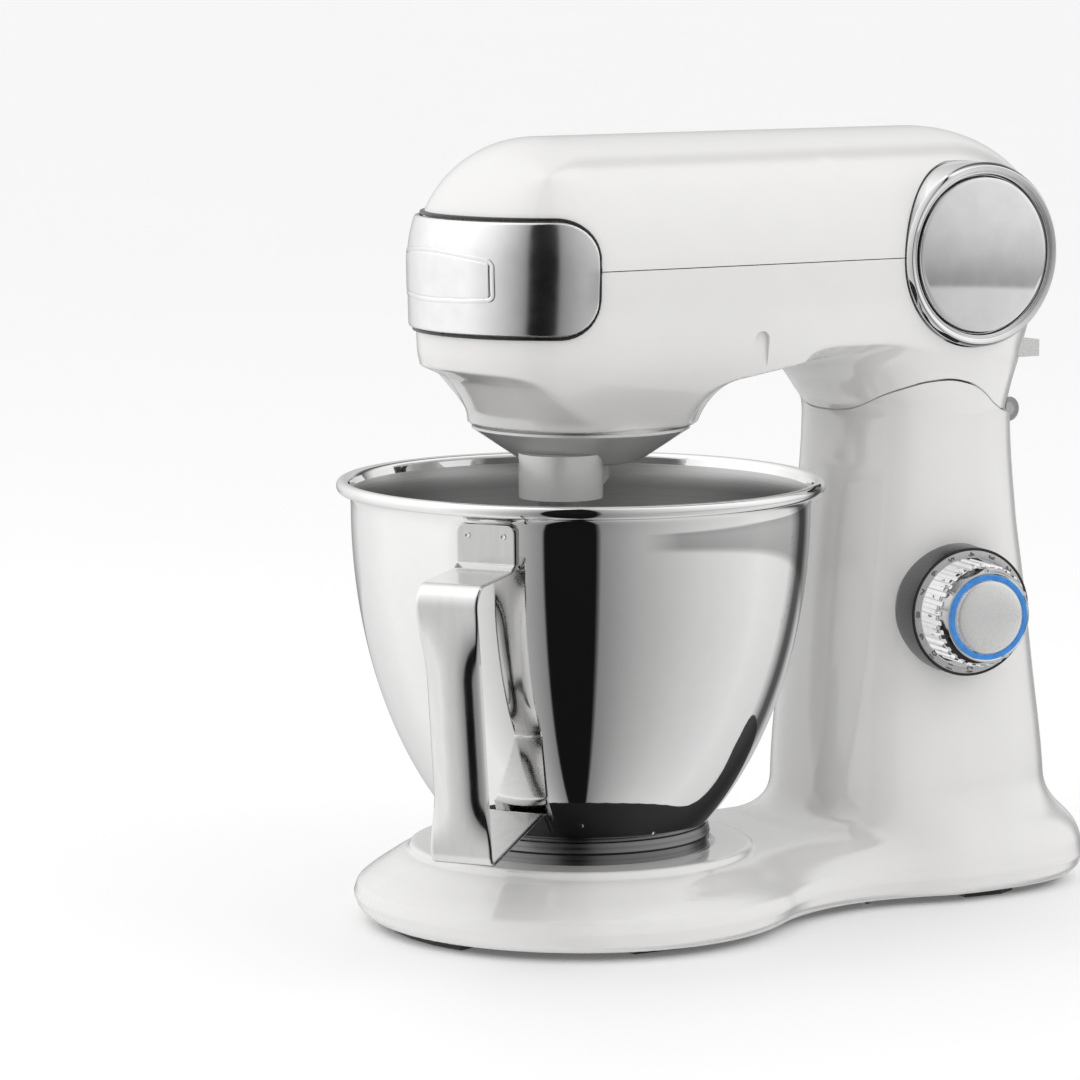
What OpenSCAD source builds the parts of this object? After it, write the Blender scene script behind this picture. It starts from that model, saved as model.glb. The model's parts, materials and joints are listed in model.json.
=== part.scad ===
// Tilt-head stand mixer with a planetary drive, a steel bowl and a lit speed dial.
// Origin: the bowl axis on the table. +Z up, the nose points along -Y, the dial is on +X.

/* [Head] */
// Full width of the head
head_w = 120; // [119:0.5:121]
// Height of the parting line between top cover and lower casing
seam_z = 302; // [301.5:0.5:302.5]
// Height of the crown above the parting line
crown_h = 57; // [56:0.5:58]
// Thickness of the moulded shells
wall = 3; // [2.5:0.1:3.2]
// Radius of the round housing over the planetary drive
chin_r = 53; // [52.5:0.5:53.5]

/* [Stand] */
// Radius of the round front of the base at its widest edge
base_r = 104; // [102:1:106]
// Half width of the waist of the base
waist_w = 64; // [62:1:66]
// Half width of the rear of the base
rear_w = 73; // [71:1:75]
// Radius of the raised seat under the bowl
seat_r = 79; // [77:1:81]
// Height of the raised seat above the table
seat_z = 36; // [35:0.5:37]

/* [Bowl] */
// Outer radius of the rolled rim
rim_r = 111.2; // [110:0.2:112]
// Height of the middle of the rolled rim
rim_z = 200.6; // [199:0.2:201]
// Thickness of the bowl's steel
bowl_t = 1.0; // [0.8:0.1:1.2]
// Direction of the handle, counted from the nose towards the dial
handle_az = 35; // [20:1:50]

/* [Drive] */
// Radius of the beater's drive pin
pin_r = 6; // [5.8:0.1:6]
// Radius of the motor can
motor_r = 38; // [36:0.5:38]

/* [Hidden] */
$fn = 64;

// Colours
enamel = [0.93, 0.93, 0.92];
chrome = [0.78, 0.79, 0.80];
steel = [0.62, 0.63, 0.64];
dark_steel = [0.30, 0.30, 0.31];
cast = [0.50, 0.51, 0.52];
rubber = [0.08, 0.08, 0.08];
brass = [0.72, 0.58, 0.30];
copper = [0.66, 0.40, 0.24];
nylon = [0.86, 0.85, 0.80];
silver_paint = [0.70, 0.70, 0.69];
blue_light = [0.05, 0.45, 0.95];
board_green = [0.10, 0.35, 0.20];

// Head outline along Y
half_w = head_w / 2;
nose_y = -22;
nose_len = 55;
tail_y = 180;
tail_len = 68;
belly_h = 51;
crease_h = 39;
chin_z = 229;

// Tilt hinge
hinge_y = 224;
hinge_z = 225;
hinge_r = 5.6;
hinge_pin_r = 3.2;
hinge_clear_r = 6.2;
lug_half_w = 13.5;
ear_x0 = 14;
ear_x1 = 24;
seam_gap = 1;

// Latch
latch_y = 214;
latch_z = 252;
latch_shaft_r = 3;

// Speed dial: its axis leans forward of sideways
dial_tilt = 10;
dial_at = [65, 172.7, 136.7];
bezel_r = 30;
dial_r = 24;

// Side discs
disc_y = 180;
disc_z = 302;
disc_r = 42.6;
disc_floor_x = 42;

// Chrome band round the nose
band_z0 = 274;
band_z1 = 324;
band_y = -29;
band_t = 3.4;
band_corner = 16;

// Gear train: one two-stage set along Y, one bevel pair, one planet gear
m1 = 1;
m2 = 1.25;
bevel_m = 2;
rotor_teeth = 12;
idler_teeth = 44;
idler_pinion_teeth = 14;
main_teeth = 36;
bevel_pinion_teeth = 15;
bevel_gear_teeth = 30;
ring_teeth = 60;
planet_teeth = 16;
slack = 0.25;
rotor_z = 302;
idler_x = 22;
idler_z = rotor_z + sqrt(pow(m1 * (rotor_teeth + idler_teeth) / 2, 2) - pow(idler_x, 2));
main_z = idler_z - sqrt(pow(m2 * (idler_pinion_teeth + main_teeth) / 2, 2) - pow(idler_x, 2));
idler_angle = atan2(idler_z - rotor_z, idler_x);
main_angle = atan2(main_z - idler_z, -idler_x);
planet_r = m2 * (ring_teeth - planet_teeth) / 2;
beater_az = 39;
beater_at = [planet_r * sin(beater_az), -planet_r * cos(beater_az), 0];
beater_angle = beater_az - 90;
shaft_r = 5;
carrier_shaft_r = 7;

// Heights of the base's edge, and how far each lies inside the widest outline
base_steps = [[4, 8], [8, 2], [13, 0], [18, 2], [23, 8.5], [30, 20], [36, 25]];
plate_z = 3;

// Column and neck, as one body: front, rear and half width at each height
post_front = [[20, 96], [26, 108], [32, 114], [40, 117.5], [50, 119], [140, 127], [225, 134.5], [230, 133.5],
    [236, 129], [244, 122.5], [250, 117], [258, 111], [270, 106], [302, 104]];
post_rear = [[20, 256], [26, 253], [32, 250.5], [50, 248.5], [104, 242], [148, 236], [178, 231.5], [225, 228],
    [241, 230], [257, 235], [275, 241], [302, 246]];
post_half = [[20, 70], [26, 63], [32, 59], [40, 57], [50, 56], [104, 52.5], [148, 50], [225, 46.5],
    [236, 48], [244, 50], [254, 54], [263, 57], [285, 59], [302, 59.5]];

// The wavy parting line between the column and the neck, in Y and Z
wave = [[90, 225], [130, 226], [137, 230], [141, 235.7], [150, 240.4], [160, 243.2], [169, 243.8],
    [183, 241.3], [192.5, 236.5], [200, 230.8], [210, 226.5], [228, 224], [262, 223.5]];

// Screws, bolts, shelf, bowl seat and cord gland of the stand
foot_screws = [for (s = [-1, 1], p = [[60, -36], [57, 30], [47, 128], [50, 216]]) [s * p[0], p[1]]];
lock_screws = [for (i = [0 : 2]) polar(30, 90 + 120 * i)];
bracket_bolts = [for (x = [-18, 18], y = [191, 203]) [x, y]];
seat_floor_z = 28;
seat_recess_r = 62;
shelf_z = 196;
gland_at = [-32, 17];
gland_r = 8;

// Bosses and bearing plates in the head
cover_bosses = [for (s = [-1, 1], y = [0, 65, 130]) [s * 51.5, y]];
frame_posts = [for (s = [-1, 1], y = [74, 101]) [s * 24, y]];
nose_lugs = [[-42, -14], [42, -14]];
deck_z = 258;
deck_t = 5;
front_plate_y = -56;
mid_plate_y = 62;
rear_plate_y = 108;
socket_r = 14;
socket_bore_r = 8;

// Bowl
bowl_floor_z = 34.2;
bowl_levels = [37, 40, 44, 49, 55, 62, 70, 80, 92, 106, 122, 140, 160, 178, 192];

// ---------------------------------------------------------------- helpers

function spow(v, p) = sign(v) * pow(abs(v), p);
function polar(r, a) = [r * cos(a), r * sin(a)];
function smooth(t) = let(c = min(max(t, 0), 1)) c * c * (3 - 2 * c);
function lifted(points, z) = [for (p = points) [p[0], p[1], z]];

// A closed surface through rings that have the same number of points
module skin(rings) {
    n = len(rings[0]);
    m = len(rings);
    polyhedron(
        points = [for (r = rings) each r],
        faces = concat(
            [[for (i = [0 : n - 1]) i]],
            [[for (i = [n - 1 : -1 : 0]) (m - 1) * n + i]],
            [for (j = [0 : m - 2], i = [0 : n - 1])
                [j * n + i, (j + 1) * n + i, j * n + (i + 1) % n]],
            [for (j = [0 : m - 2], i = [0 : n - 1])
                [j * n + (i + 1) % n, (j + 1) * n + i, (j + 1) * n + (i + 1) % n]]));
}

// Extrudes an outline drawn in X and Z from y0 to y1
module along_y(y0, y1) {
    translate([0, y1, 0]) rotate([90, 0, 0]) linear_extrude(y1 - y0) children();
}

// Extrudes an outline drawn in Y and Z from x0 to x1
module along_x(x0, x1) {
    translate([x0, 0, 0]) rotate([90, 0, 90]) linear_extrude(x1 - x0) children();
}

// A round bar along Y at x, z
module rod_y(r, y0, y1, x = 0, z = 0) {
    translate([x, y1, z]) rotate([90, 0, 0]) cylinder(r = r, h = y1 - y0);
}

// A round bar along X at y, z
module rod_x(r, x0, x1, y = 0, z = 0) {
    translate([x0, y, z]) rotate([0, 90, 0]) cylinder(r = r, h = x1 - x0);
}

module tube(r1, r0, h) {
    difference() {
        cylinder(r = r1, h = h);
        translate([0, 0, -1]) cylinder(r = r0, h = h + 2);
    }
}

module both_sides() {
    children();
    mirror([1, 0, 0]) children();
}

module block(x0, x1, y0, y1, z0, z1) {
    translate([x0, y0, z0]) cube([x1 - x0, y1 - y0, z1 - z0]);
}

// A flat strip of thickness t through the points, with mitred bends
module strip(points, t) {
    last = len(points) - 1;
    normals = [for (i = [0 : last - 1]) let(d = points[i + 1] - points[i]) [-d[1], d[0]] / norm(d)];
    side = [for (i = [0 : last])
        let(a = normals[max(i - 1, 0)], b = normals[min(i, last - 1)]) (a + b) / (1 + a * b) * t / 2];
    polygon(concat([for (i = [0 : last]) points[i] + side[i]],
        [for (i = [last : -1 : 0]) points[i] - side[i]]));
}

// A pan-head screw that points down from the origin
module screw(r, length) {
    rotate([180, 0, 0]) cylinder(r = r, h = length, $fn = 24);
    difference() {
        cylinder(r = 2 * r, h = 1.2 * r, $fn = 24);
        translate([0, 0, 0.5 * r]) cylinder(r = 0.9 * r, h = r, $fn = 6);
    }
}

// ---------------------------------------------------------------- gears

function involute(a) = tan(a) * 180 / PI - a;

// Half the angle of a tooth at radius r
function tooth_half(r, pitch, teeth, play) =
    let(base = pitch * cos(20), c = min(1, base / r))
    90 / teeth - play / pitch * 90 / PI + involute(20) - involute(acos(c));

function gear_outline(m, teeth, play = slack, tip = 1, root = 1.25) =
    let(pitch = m * teeth / 2, r0 = pitch - root * m, r1 = pitch + tip * m)
    [for (i = [0 : teeth - 1]) let(c = 360 * i / teeth) each concat(
        [for (k = [0 : 3]) let(r = r0 + (r1 - r0) * k / 3) polar(r, c - tooth_half(r, pitch, teeth, play))],
        [for (k = [3 : -1 : 0]) let(r = r0 + (r1 - r0) * k / 3) polar(r, c + tooth_half(r, pitch, teeth, play))])];

// One bevel gear's outline in the plane at distance d from the apex
function bevel_outline(m, teeth, mate, d) =
    let(rp = m * teeth / 2, cone = atan2(teeth, mate), dist = rp / sin(cone), vp = dist * tan(cone))
    [for (i = [0 : teeth - 1]) let(c = 360 * i / teeth) each concat(
        [for (k = [0 : 3]) bevel_point(m, k / 3, cone, dist, vp, d, teeth, c, -1)],
        [for (k = [3 : -1 : 0]) bevel_point(m, k / 3, cone, dist, vp, d, teeth, c, 1)])];

function bevel_point(m, k, cone, dist, vp, d, teeth, c, side) =
    let(h = m * (-1.25 + 2.25 * k), rv = vp + h, real = dist * sin(cone) + h * cos(cone),
        a = tooth_half(rv, vp, teeth / cos(cone), slack) * rv / real)
    polar(d * tan(cone + atan(h / dist)), c + side * a);

// ---------------------------------------------------------------- head shapes

// Cross-section of the head, drawn in X and Z, at size k of its full size
function head_section(k, inset) =
    let(w = (half_w - inset) * k, top = (crown_h - inset) * k,
        crease = (crease_h - inset) * k, barrel = (belly_h - crease_h) * k)
    concat(
        [for (t = [0 : 9 : 180]) [w * spow(cos(t), 0.93), seam_z + top * spow(sin(t), 0.93)]],
        [[-0.995 * w, seam_z - 0.5 * crease]],
        [for (t = [0 : 22.5 : 180]) [-0.955 * w * cos(t), seam_z - crease - barrel * sin(t)]],
        [[0.995 * w, seam_z - 0.5 * crease]]);

function head_stations(inset) = concat(
    [for (a = [-86, -75, -60, -45, -30, -15]) [nose_y + (nose_len - inset) * sin(a), cos(a)]],
    [[nose_y, 1], [tail_y, 1]],
    [for (a = [15, 30, 45, 60, 75, 86]) [tail_y + (tail_len - inset) * sin(a), cos(a)]]);

module head_tube(inset) {
    skin([for (s = head_stations(inset)) [for (p = head_section(s[1], inset)) [-p[0], s[0], p[1]]]]);
}

// The housing under the nose changes from a round mouth to the outline of the nose
function chin_ring(z, inset) =
    let(t = smooth((z - 236) / 28), grow = 3 * sin(90 * min(1, (z - chin_z) / 7)) - 3,
        a = chin_r + grow + 6 * t - inset, b = chin_r + grow + 2 * t - inset, y0 = nose_y * t,
        back = lookup(z, [[229, 54], [236, 57], [244, 64], [250, 74], [256, 84]]) - inset)
    [for (u = [0 : 10 : 350]) sin(u) > 0
        ? [a * spow(cos(u), 0.9), y0 + (back - y0) * spow(sin(u), 0.9), z]
        : [a * cos(u), y0 + b * sin(u), z]];

module chin(inset) {
    skin([for (z = [chin_z, 232, 236, 240, 245, 250, 255, 260, 265, seam_z - inset])
        chin_ring(z, inset)]);
}

// Column and neck share one body, cut apart along the wavy parting line
function post_ring(z, inset) =
    let(f = lookup(z, post_front) + inset, r = lookup(z, post_rear) - inset, a = lookup(z, post_half) - inset)
    [for (u = [0 : 10 : 350]) [a * spow(cos(u), 0.8), (f + r) / 2 + (r - f) / 2 * spow(sin(u), 0.86), z]];

module post(levels, inset) {
    skin([for (z = levels) post_ring(z, inset)]);
}

neck_levels = [220, 225, 230, 236, 240, 244, 250, 254, 258, 263, 270, 301];
column_levels = [20, 26, 32, 40, 50, 104, 178, 230, 236, 246];

module above_wave(shift) {
    along_x(-90, 90) polygon(concat([for (p = wave) p + [0, shift]], [[262, 420], [90, 420]]));
}

module below_wave(shift) {
    along_x(-90, 90) polygon(concat([for (p = wave) p + [0, shift]], [[262, -20], [90, -20]]));
}

module head_body(inset) {
    head_tube(inset);
    chin(inset);
    post(neck_levels, inset);
}

// Round pockets that take the side discs
module disc_pockets() {
    both_sides() rod_x(disc_r + 0.3, disc_floor_x, 75, disc_y, disc_z, $fn = 40);
}

// Outline of the nose at height z, grown by d, for the chrome band
function nose_ring(z, d) =
    let(k = z > seam_z ? pow(1 - pow((z - seam_z) / crown_h, 2 / 0.93), 0.93 / 2) : 1)
    [for (u = [0 : 10 : 350])
        [(half_w * k + d) * cos(u), nose_y + (nose_len * k + d) * sin(u), z]];

module nose_layer(d, z0, z1) {
    step = (z1 - z0) / 6;
    skin([for (z = [z0 : step : z1 + 0.01]) nose_ring(z, d)]);
}

// Side outline of the band: square at the nose, round corners at its ends
module band_outline(grow) {
    z0 = band_z0 - grow;
    z1 = band_z1 + grow;
    r = band_corner;
    y1 = band_y + grow;
    union() {
        translate([-100, z0]) square([100 + y1 - r, z1 - z0]);
        translate([-100, z0 + r]) square([100 + y1, z1 - z0 - 2 * r]);
        for (z = [z0 + r, z1 - r]) translate([y1 - r, z]) circle(r = r);
    }
}

// ---------------------------------------------------------------- base shapes

// Right half of the base's outline, from the front to the rear, inside by e
function base_side() =
    let(wr = (waist_w * waist_w + 122 * 122 - base_r * base_r) / (2 * (base_r - waist_w)),
        wc = [waist_w + wr, 122], bulge = 80, bx = rear_w - bulge,
        by = 122 + sqrt(pow(wr + bulge, 2) - pow(wc[0] - bx, 2)),
        a0 = atan2(wc[1], wc[0]), a1 = atan2(by - wc[1], bx - wc[0]), a2 = atan2(wc[1] - by, wc[0] - bx))
    concat(
        [for (i = [0 : 11]) polar(base_r, -90 + (a0 + 90) * i / 12)],
        [for (i = [0 : 5]) wc + polar(wr, a0 + 180 + (a1 - a0 - 180) * i / 6)],
        [for (i = [0 : 1]) [bx, by] + polar(bulge, a2 * (1 - i / 2))],
        [for (i = [0 : 6]) let(t = 15 * i)
            [rear_w * spow(cos(t), 0.72), by + (264 - by) * spow(sin(t), 0.72)]]);

function base_loop() = let(s = base_side(), n = len(s))
    concat(s, [for (i = [n - 2 : -1 : 1]) [-s[i][0], s[i][1]]]);

// The outline moved inwards by e along its own normals
function base_inset(e) = let(p = base_loop(), n = len(p))
    [for (i = [0 : n - 1]) let(d = p[(i + 1) % n] - p[(i + n - 1) % n], u = d / norm(d)) p[i] - e * [u[1], -u[0]]];

module base_slab(inset) {
    skin([for (s = base_steps) lifted(base_inset(s[1] + inset), s[0] - (inset > 0 ? inset : 0))]);
}

// ---------------------------------------------------------------- stand

module stand_outer() {
    base_slab(0);
    difference() {
        post(column_levels, 0);
        above_wave(-seam_gap / 2);
    }
}

// A boss that widens towards the skin above it
module boss(at, r, z0, z1) {
    hull() {
        translate([at[0], at[1], z0]) cylinder(r = r, h = 1, $fn = 8);
        translate([at[0], at[1], z1]) cylinder(r = r + 2, h = 1, $fn = 8);
    }
}

module base_casting() {
    color(enamel) difference() {
        union() {
            difference() {
                stand_outer();
                base_slab(wall);
                post(column_levels, wall);
                translate([0, 0, -1]) linear_extrude(9) polygon(base_inset(11.5));
            }
            intersection() {
                stand_outer();
                union() {
                    for (p = foot_screws) boss(p, 4.5, plate_z + 2.1, 60);
                    translate([0, 0, seat_floor_z - 3]) cylinder(r = 68, h = 6);
                    block(-60, 60, 182, 240, shelf_z - 6, shelf_z);
                }
            }
        }
        translate([0, 0, seat_floor_z]) cylinder(r = seat_recess_r, h = 30);
        for (p = lock_screws) translate([p[0], p[1], seat_floor_z - 10]) cylinder(r = 1.9, h = 12, $fn = 24);
        for (p = foot_screws) translate([p[0], p[1], 0]) cylinder(r = 1.6, h = 18, $fn = 13);
        for (p = bracket_bolts) translate([p[0], p[1], shelf_z - 10]) cylinder(r = 2.1, h = 12, $fn = 24);
        at_dial() translate([0, 0, -19]) cylinder(r = bezel_r + 0.2, h = 30);
        rod_x(hinge_clear_r, -60, 60, hinge_y, hinge_z);
        rod_y(gland_r + 0.1, 235, 270, gland_at[0], gland_at[1]);
        rod_y(gland_r + 3, 230, 249, gland_at[0], gland_at[1]);
        block(-24.6, 24.6, 208, 240, 214, 232);
    }
}

module base_bottom_plate() {
    color(rubber) difference() {
        translate([0, 0, plate_z]) linear_extrude(2) polygon(base_inset(11.8));
        for (p = foot_screws) translate([p[0], p[1], 0]) cylinder(r = 1.6, h = 18, $fn = 13);
    }
}

module base_plate_screws() {
    color(steel) for (p = foot_screws) translate([p[0], p[1], plate_z]) mirror([0, 0, 1]) screw(1.5, 12);
}

// Long pads along both sides, a curved one at the front, a straight one at the rear and a round one in the middle
module rubber_feet() {
    color(rubber) {
        cylinder(r = 12, h = plate_z);
        both_sides() linear_extrude(plate_z) {
            strip([[76, -22], [77, 6], [70, 34], [58, 56]], 9);
            strip([[52, 178], [54, 196], [50, 205]], 9);
        }
        linear_extrude(plate_z) strip([for (a = [-112 : 11 : -68]) polar(86, a)], 8);
        linear_extrude(plate_z) strip([[-34, 238], [34, 238]], 8);
    }
}

// The bowl turns under three hooks on this plate
module bowl_lock_plate() {
    color(steel) difference() {
        union() {
            translate([0, 0, seat_floor_z]) cylinder(r = seat_recess_r - 0.4, h = 2.4);
            for (i = [0 : 2]) rotate(20 + 120 * i) translate([0, 0, seat_floor_z + 2]) {
                rotate_extrude(angle = 24) polygon([[47.6, 0], [49.8, 0], [49.8, 3.8], [53.4, 3.8], [53.4, 5.6], [47.6, 5.6]]);
            }
        }
        for (p = lock_screws) translate([p[0], p[1], seat_floor_z - 1]) cylinder(r = 1.9, h = 8, $fn = 24);
    }
}

module lock_plate_screws() {
    color(steel) for (p = lock_screws) translate([p[0], p[1], seat_floor_z + 2.42]) screw(1.7, 9);
}

// Two ears that carry the hinge pin, on a plate bolted to the shelf in the column
module hinge_bracket() {
    color(cast) difference() {
        union() {
            block(-24, 24, 186, 218, shelf_z, shelf_z + 6);
            both_sides() along_x(ear_x0, ear_x1) {
                translate([hinge_y, hinge_z]) circle(r = hinge_r);
                polygon([[hinge_y - 5.4, hinge_z + 1], [hinge_y - 14, shelf_z + 6], [hinge_y - 16, shelf_z + 3],
                    [217, shelf_z + 3], [219, shelf_z + 17], [hinge_y + 2, hinge_z - 5]]);
            }
        }
        rod_x(hinge_pin_r, -30, 30, hinge_y, hinge_z);
        for (p = bracket_bolts) translate([p[0], p[1], shelf_z - 1]) cylinder(r = 2.1, h = 12, $fn = 24);
    }
}

module hinge_pin() {
    color(steel) rod_x(hinge_pin_r, -ear_x1, ear_x1, hinge_y, hinge_z);
}

module bracket_screws() {
    color(steel) for (p = bracket_bolts) translate([p[0], p[1], shelf_z + 6]) screw(2, 14);
}

// Keeper for the latch: a post with a bar in front of the pawl's toe
module latch_striker() {
    color(steel) difference() {
        union() {
            block(-12, 12, 176, 185.9, shelf_z, shelf_z + 3);
            both_sides() block(6, 12, 178, 182, shelf_z, 250);
            rod_x(2.5, -12, 12, 180, 250);
        }
        translate([0, 181, shelf_z - 1]) cylinder(r = 2.1, h = 6, $fn = 24);
    }
}

module at_dial() {
    translate(dial_at) rotate([0, 0, -dial_tilt]) rotate([0, 90, 0]) children();
}

module dial_bezel() {
    color(chrome) at_dial() difference() {
        translate([0, 0, -18]) cylinder(r = bezel_r, h = 18);
        translate([0, 0, -16]) cylinder(r = dial_r + 1, h = 20);
        translate([0, 0, -20]) cylinder(r = 3.4, h = 20);
    }
}

module dial_encoder() {
    color(dark_steel) at_dial() difference() {
        union() {
            translate([0, 0, -32]) cylinder(r = 9, h = 10);
            translate([0, 0, -22]) cylinder(r = 5, h = 3.9);
        }
        translate([0, 0, -30]) cylinder(r = 3.06, h = 20);
    }
}

module control_board() {
    color(board_green) {
        block(-12, -10.4, 150, 214, 100, 172);
        block(-10.4, 4, 156, 176, 140, 164);
        block(-10.4, -2, 184, 204, 112, 130);
        block(-10.4, 0, 156, 172, 106, 122);
    }
}

module power_supply() {
    color(nylon) {
        block(-30, 30, 148, 206, 42, 45);
        block(-26, -4, 154, 184, 45, 72);
        block(4, 24, 156, 176, 45, 66);
        rod_y(8, 186, 202, 8, 53);
    }
}

module cord_gland() {
    color(rubber) difference() {
        union() {
            rod_y(gland_r, 238, 262.5, gland_at[0], gland_at[1]);
            rod_y(gland_r + 2.5, 238, 248, gland_at[0], gland_at[1]);
        }
        rod_y(3.6, 230, 270, gland_at[0], gland_at[1]);
    }
}

// ---------------------------------------------------------------- head

module upper_shell() {
    difference() {
        head_tube(0);
        head_tube(wall);
    }
}

module lower_shell() {
    difference() {
        head_body(0);
        head_body(wall);
    }
}

module seam_box(low) {
    translate([-200, -200, low ? -100 : seam_z + 0.2]) cube([400, 600, low ? seam_z + 99.8 : 200]);
}

module head_casing() {
    color(enamel) difference() {
        union() {
            intersection() {
                lower_shell();
                seam_box(true);
                above_wave(seam_gap / 2);
            }
            for (p = cover_bosses) boss(p, 4.5, seam_z - 17, seam_z - 1);
            for (p = frame_posts) boss(p, 6, deck_z - 1, deck_z - 5);
            for (p = nose_lugs) hull() for (x = [p[0], 1.19 * p[0]])
                translate([x, p[1], deck_z - 8]) cylinder(r = 5, h = 8, $fn = 8);
            both_sides() block(18, 47, 187, 197, 244.1, 249);
        }
        disc_pockets();
        for (p = cover_bosses) translate([p[0], p[1], seam_z - 30]) cylinder(r = 1.7, h = 40, $fn = 13);
        for (p = concat(frame_posts, nose_lugs))
            translate([p[0], p[1], deck_z - 6.5]) cylinder(r = 1.7, h = 10, $fn = 13);
        rod_x(hinge_clear_r, -60, 60, hinge_y, hinge_z);
        block(-15, 15, 222, 250, 243, 261);
        rod_y(socket_r + 0.2, -90, -56, 0, main_z);
    }
}

module head_top_cover() {
    color(enamel) difference() {
        union() {
            intersection() {
                upper_shell();
                seam_box(false);
            }
            for (p = cover_bosses) boss(p, 4, seam_z + 0.2, seam_z + 14);
        }
        disc_pockets();
        for (p = cover_bosses) translate([p[0], p[1], seam_z - 5]) cylinder(r = 1.7, h = 20, $fn = 13);
        rod_y(socket_r + 0.2, -90, -56, 0, main_z);
    }
}

module cover_screws() {
    color(steel) for (p = cover_bosses) translate([p[0], p[1], seam_z - 17]) mirror([0, 0, 1]) screw(1.6, 28);
}

// The chrome band: it pulls off forwards to bare the front drive socket
module outlet_cover() {
    color(chrome) intersection() {
        difference() {
            nose_layer(band_t, band_z0 - 2, band_z1 + 2);
            nose_layer(0.7, band_z0 - 4, band_z1 + 4);
        }
        along_x(-90, 90) band_outline(0);
    }
}

module band_gasket() {
    color(rubber) difference() {
        intersection() {
            difference() {
                nose_layer(1.6, band_z0 - 5, band_z1 + 5);
                nose_layer(0.3, band_z0 - 7, band_z1 + 7);
            }
            along_x(-90, 90) band_outline(1.8);
        }
        along_x(-90, 90) band_outline(0.35);
    }
}

module side_disc_rings() {
    color(chrome) both_sides() translate([disc_floor_x, disc_y, disc_z]) rotate([0, 90, 0]) rotate_extrude()
        polygon([[37, 0.05], [disc_r, 0.05], [disc_r, 20], [disc_r - 1.2, 21.2], [38.2, 21.2], [37, 19]]);
}

module side_discs() {
    color(chrome) both_sides() translate([disc_floor_x, disc_y, disc_z]) rotate([0, 90, 0]) rotate_extrude()
        polygon(concat([[0, 0.05], [9, 0.05], [9, 15], [36.7, 15]],
            [for (i = [0 : 8]) let(r = 36.7 * (1 - i / 8)) [r, 17.5 + 5.5 * (1 - pow(r / 36.7, 2))]]));
}

// A cast frame: deck, bearing tube over the carrier and three upright plates
module gear_frame() {
    color(cast) difference() {
        union() {
            translate([0, 0, deck_z]) cylinder(r = 49, h = deck_t);
            block(-34, 34, 0, rear_plate_y + 4, deck_z, deck_z + deck_t);
            block(-16, 16, front_plate_y, 0, deck_z, deck_z + deck_t);
            translate([0, 0, 242]) cylinder(r = 17, h = 33);
            block(-16, 16, front_plate_y, front_plate_y + 6, deck_z, main_z + 14);
            block(-30, 38, mid_plate_y, mid_plate_y + 6, deck_z, idler_z + 14);
            block(-30, 38, rear_plate_y, rear_plate_y + 4, deck_z, idler_z + 14);
        }
        translate([0, 0, 230]) cylinder(r = 7.6, h = 60);
        translate([0, 0, 241]) cylinder(r = 13.02, h = 9.1);
        translate([0, 0, 266.9]) cylinder(r = 13.02, h = 10);
        rod_y(11.02, front_plate_y - 1, front_plate_y + 7, 0, main_z);
        rod_y(11.02, mid_plate_y - 1, mid_plate_y + 7, 0, main_z);
        rod_y(10.02, mid_plate_y - 1, mid_plate_y + 7, idler_x, idler_z);
        rod_y(9, rear_plate_y - 1, rear_plate_y + 5, 0, rotor_z);
        rod_y(10.02, rear_plate_y - 1, rear_plate_y + 5, idler_x, idler_z);
        for (p = concat(frame_posts, nose_lugs)) translate([p[0], p[1], deck_z - 1]) cylinder(r = 1.9, h = 8, $fn = 24);
    }
}

module gear_frame_screws() {
    color(steel) for (p = concat(frame_posts, nose_lugs)) translate([p[0], p[1], deck_z + deck_t]) screw(1.6, 11);
}

module ring_gear() {
    color(steel) {
        translate([0, 0, 232]) linear_extrude(8.8) difference() {
            circle(r = 46.5, $fn = 96);
            rotate(beater_angle) polygon(gear_outline(m2, ring_teeth, -slack, 1.25, 1));
        }
        for (i = [0 : 3]) rotate(45 + 90 * i) translate([42.8, 0, 240.8]) cylinder(r = 3.2, h = deck_z - 240.8, $fn = 32);
    }
}

module motor_can() {
    color(steel) translate([0, 200, rotor_z]) rotate([90, 0, 0]) tube(motor_r, motor_r - 2.5, 80);
}

module motor_magnets() {
    color(dark_steel) both_sides() intersection() {
        translate([0, 190, rotor_z]) rotate([90, 0, 0]) tube(motor_r - 2.55, 29.5, 62);
        block(12, 60, 100, 220, rotor_z - 30, rotor_z + 30);
    }
}

module end_bell(y) {
    difference() {
        union() {
            rod_y(motor_r, y, y + 7.8, 0, rotor_z);
        }
        rod_y(3.05, y - 1, y + 9, 0, rotor_z);
        for (i = [0 : 5]) rotate_about(60 * i) rod_y(7, y - 1, y + 9, 24, rotor_z);
    }
}

module rotate_about(a) {
    translate([0, 0, rotor_z]) rotate([0, a, 0]) translate([0, 0, -rotor_z]) children();
}

module motor_end_bells() {
    color(cast) {
        end_bell(112.1);
        end_bell(200.1);
    }
}

module brush_holders() {
    color(brass) both_sides() {
        block(11.3, 24, 189, 195, rotor_z - 3.5, rotor_z + 3.5);
        block(22, 29, 187, 200.05, rotor_z - 5, rotor_z + 5);
    }
}

module ball_bearing_y(y, x, z, r1, r0, width) {
    translate([x, y + width, z]) rotate([90, 0, 0]) tube(r1, r0, width);
}

module shaft_bearings() {
    color(steel) {
        ball_bearing_y(front_plate_y, 0, main_z, 11, shaft_r + 0.05, 6);
        ball_bearing_y(mid_plate_y, 0, main_z, 11, shaft_r + 0.05, 6);
        ball_bearing_y(mid_plate_y, idler_x, idler_z, 10, 4.05, 6);
        ball_bearing_y(rear_plate_y, idler_x, idler_z, 10, 4.05, 4);
    }
}

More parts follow.
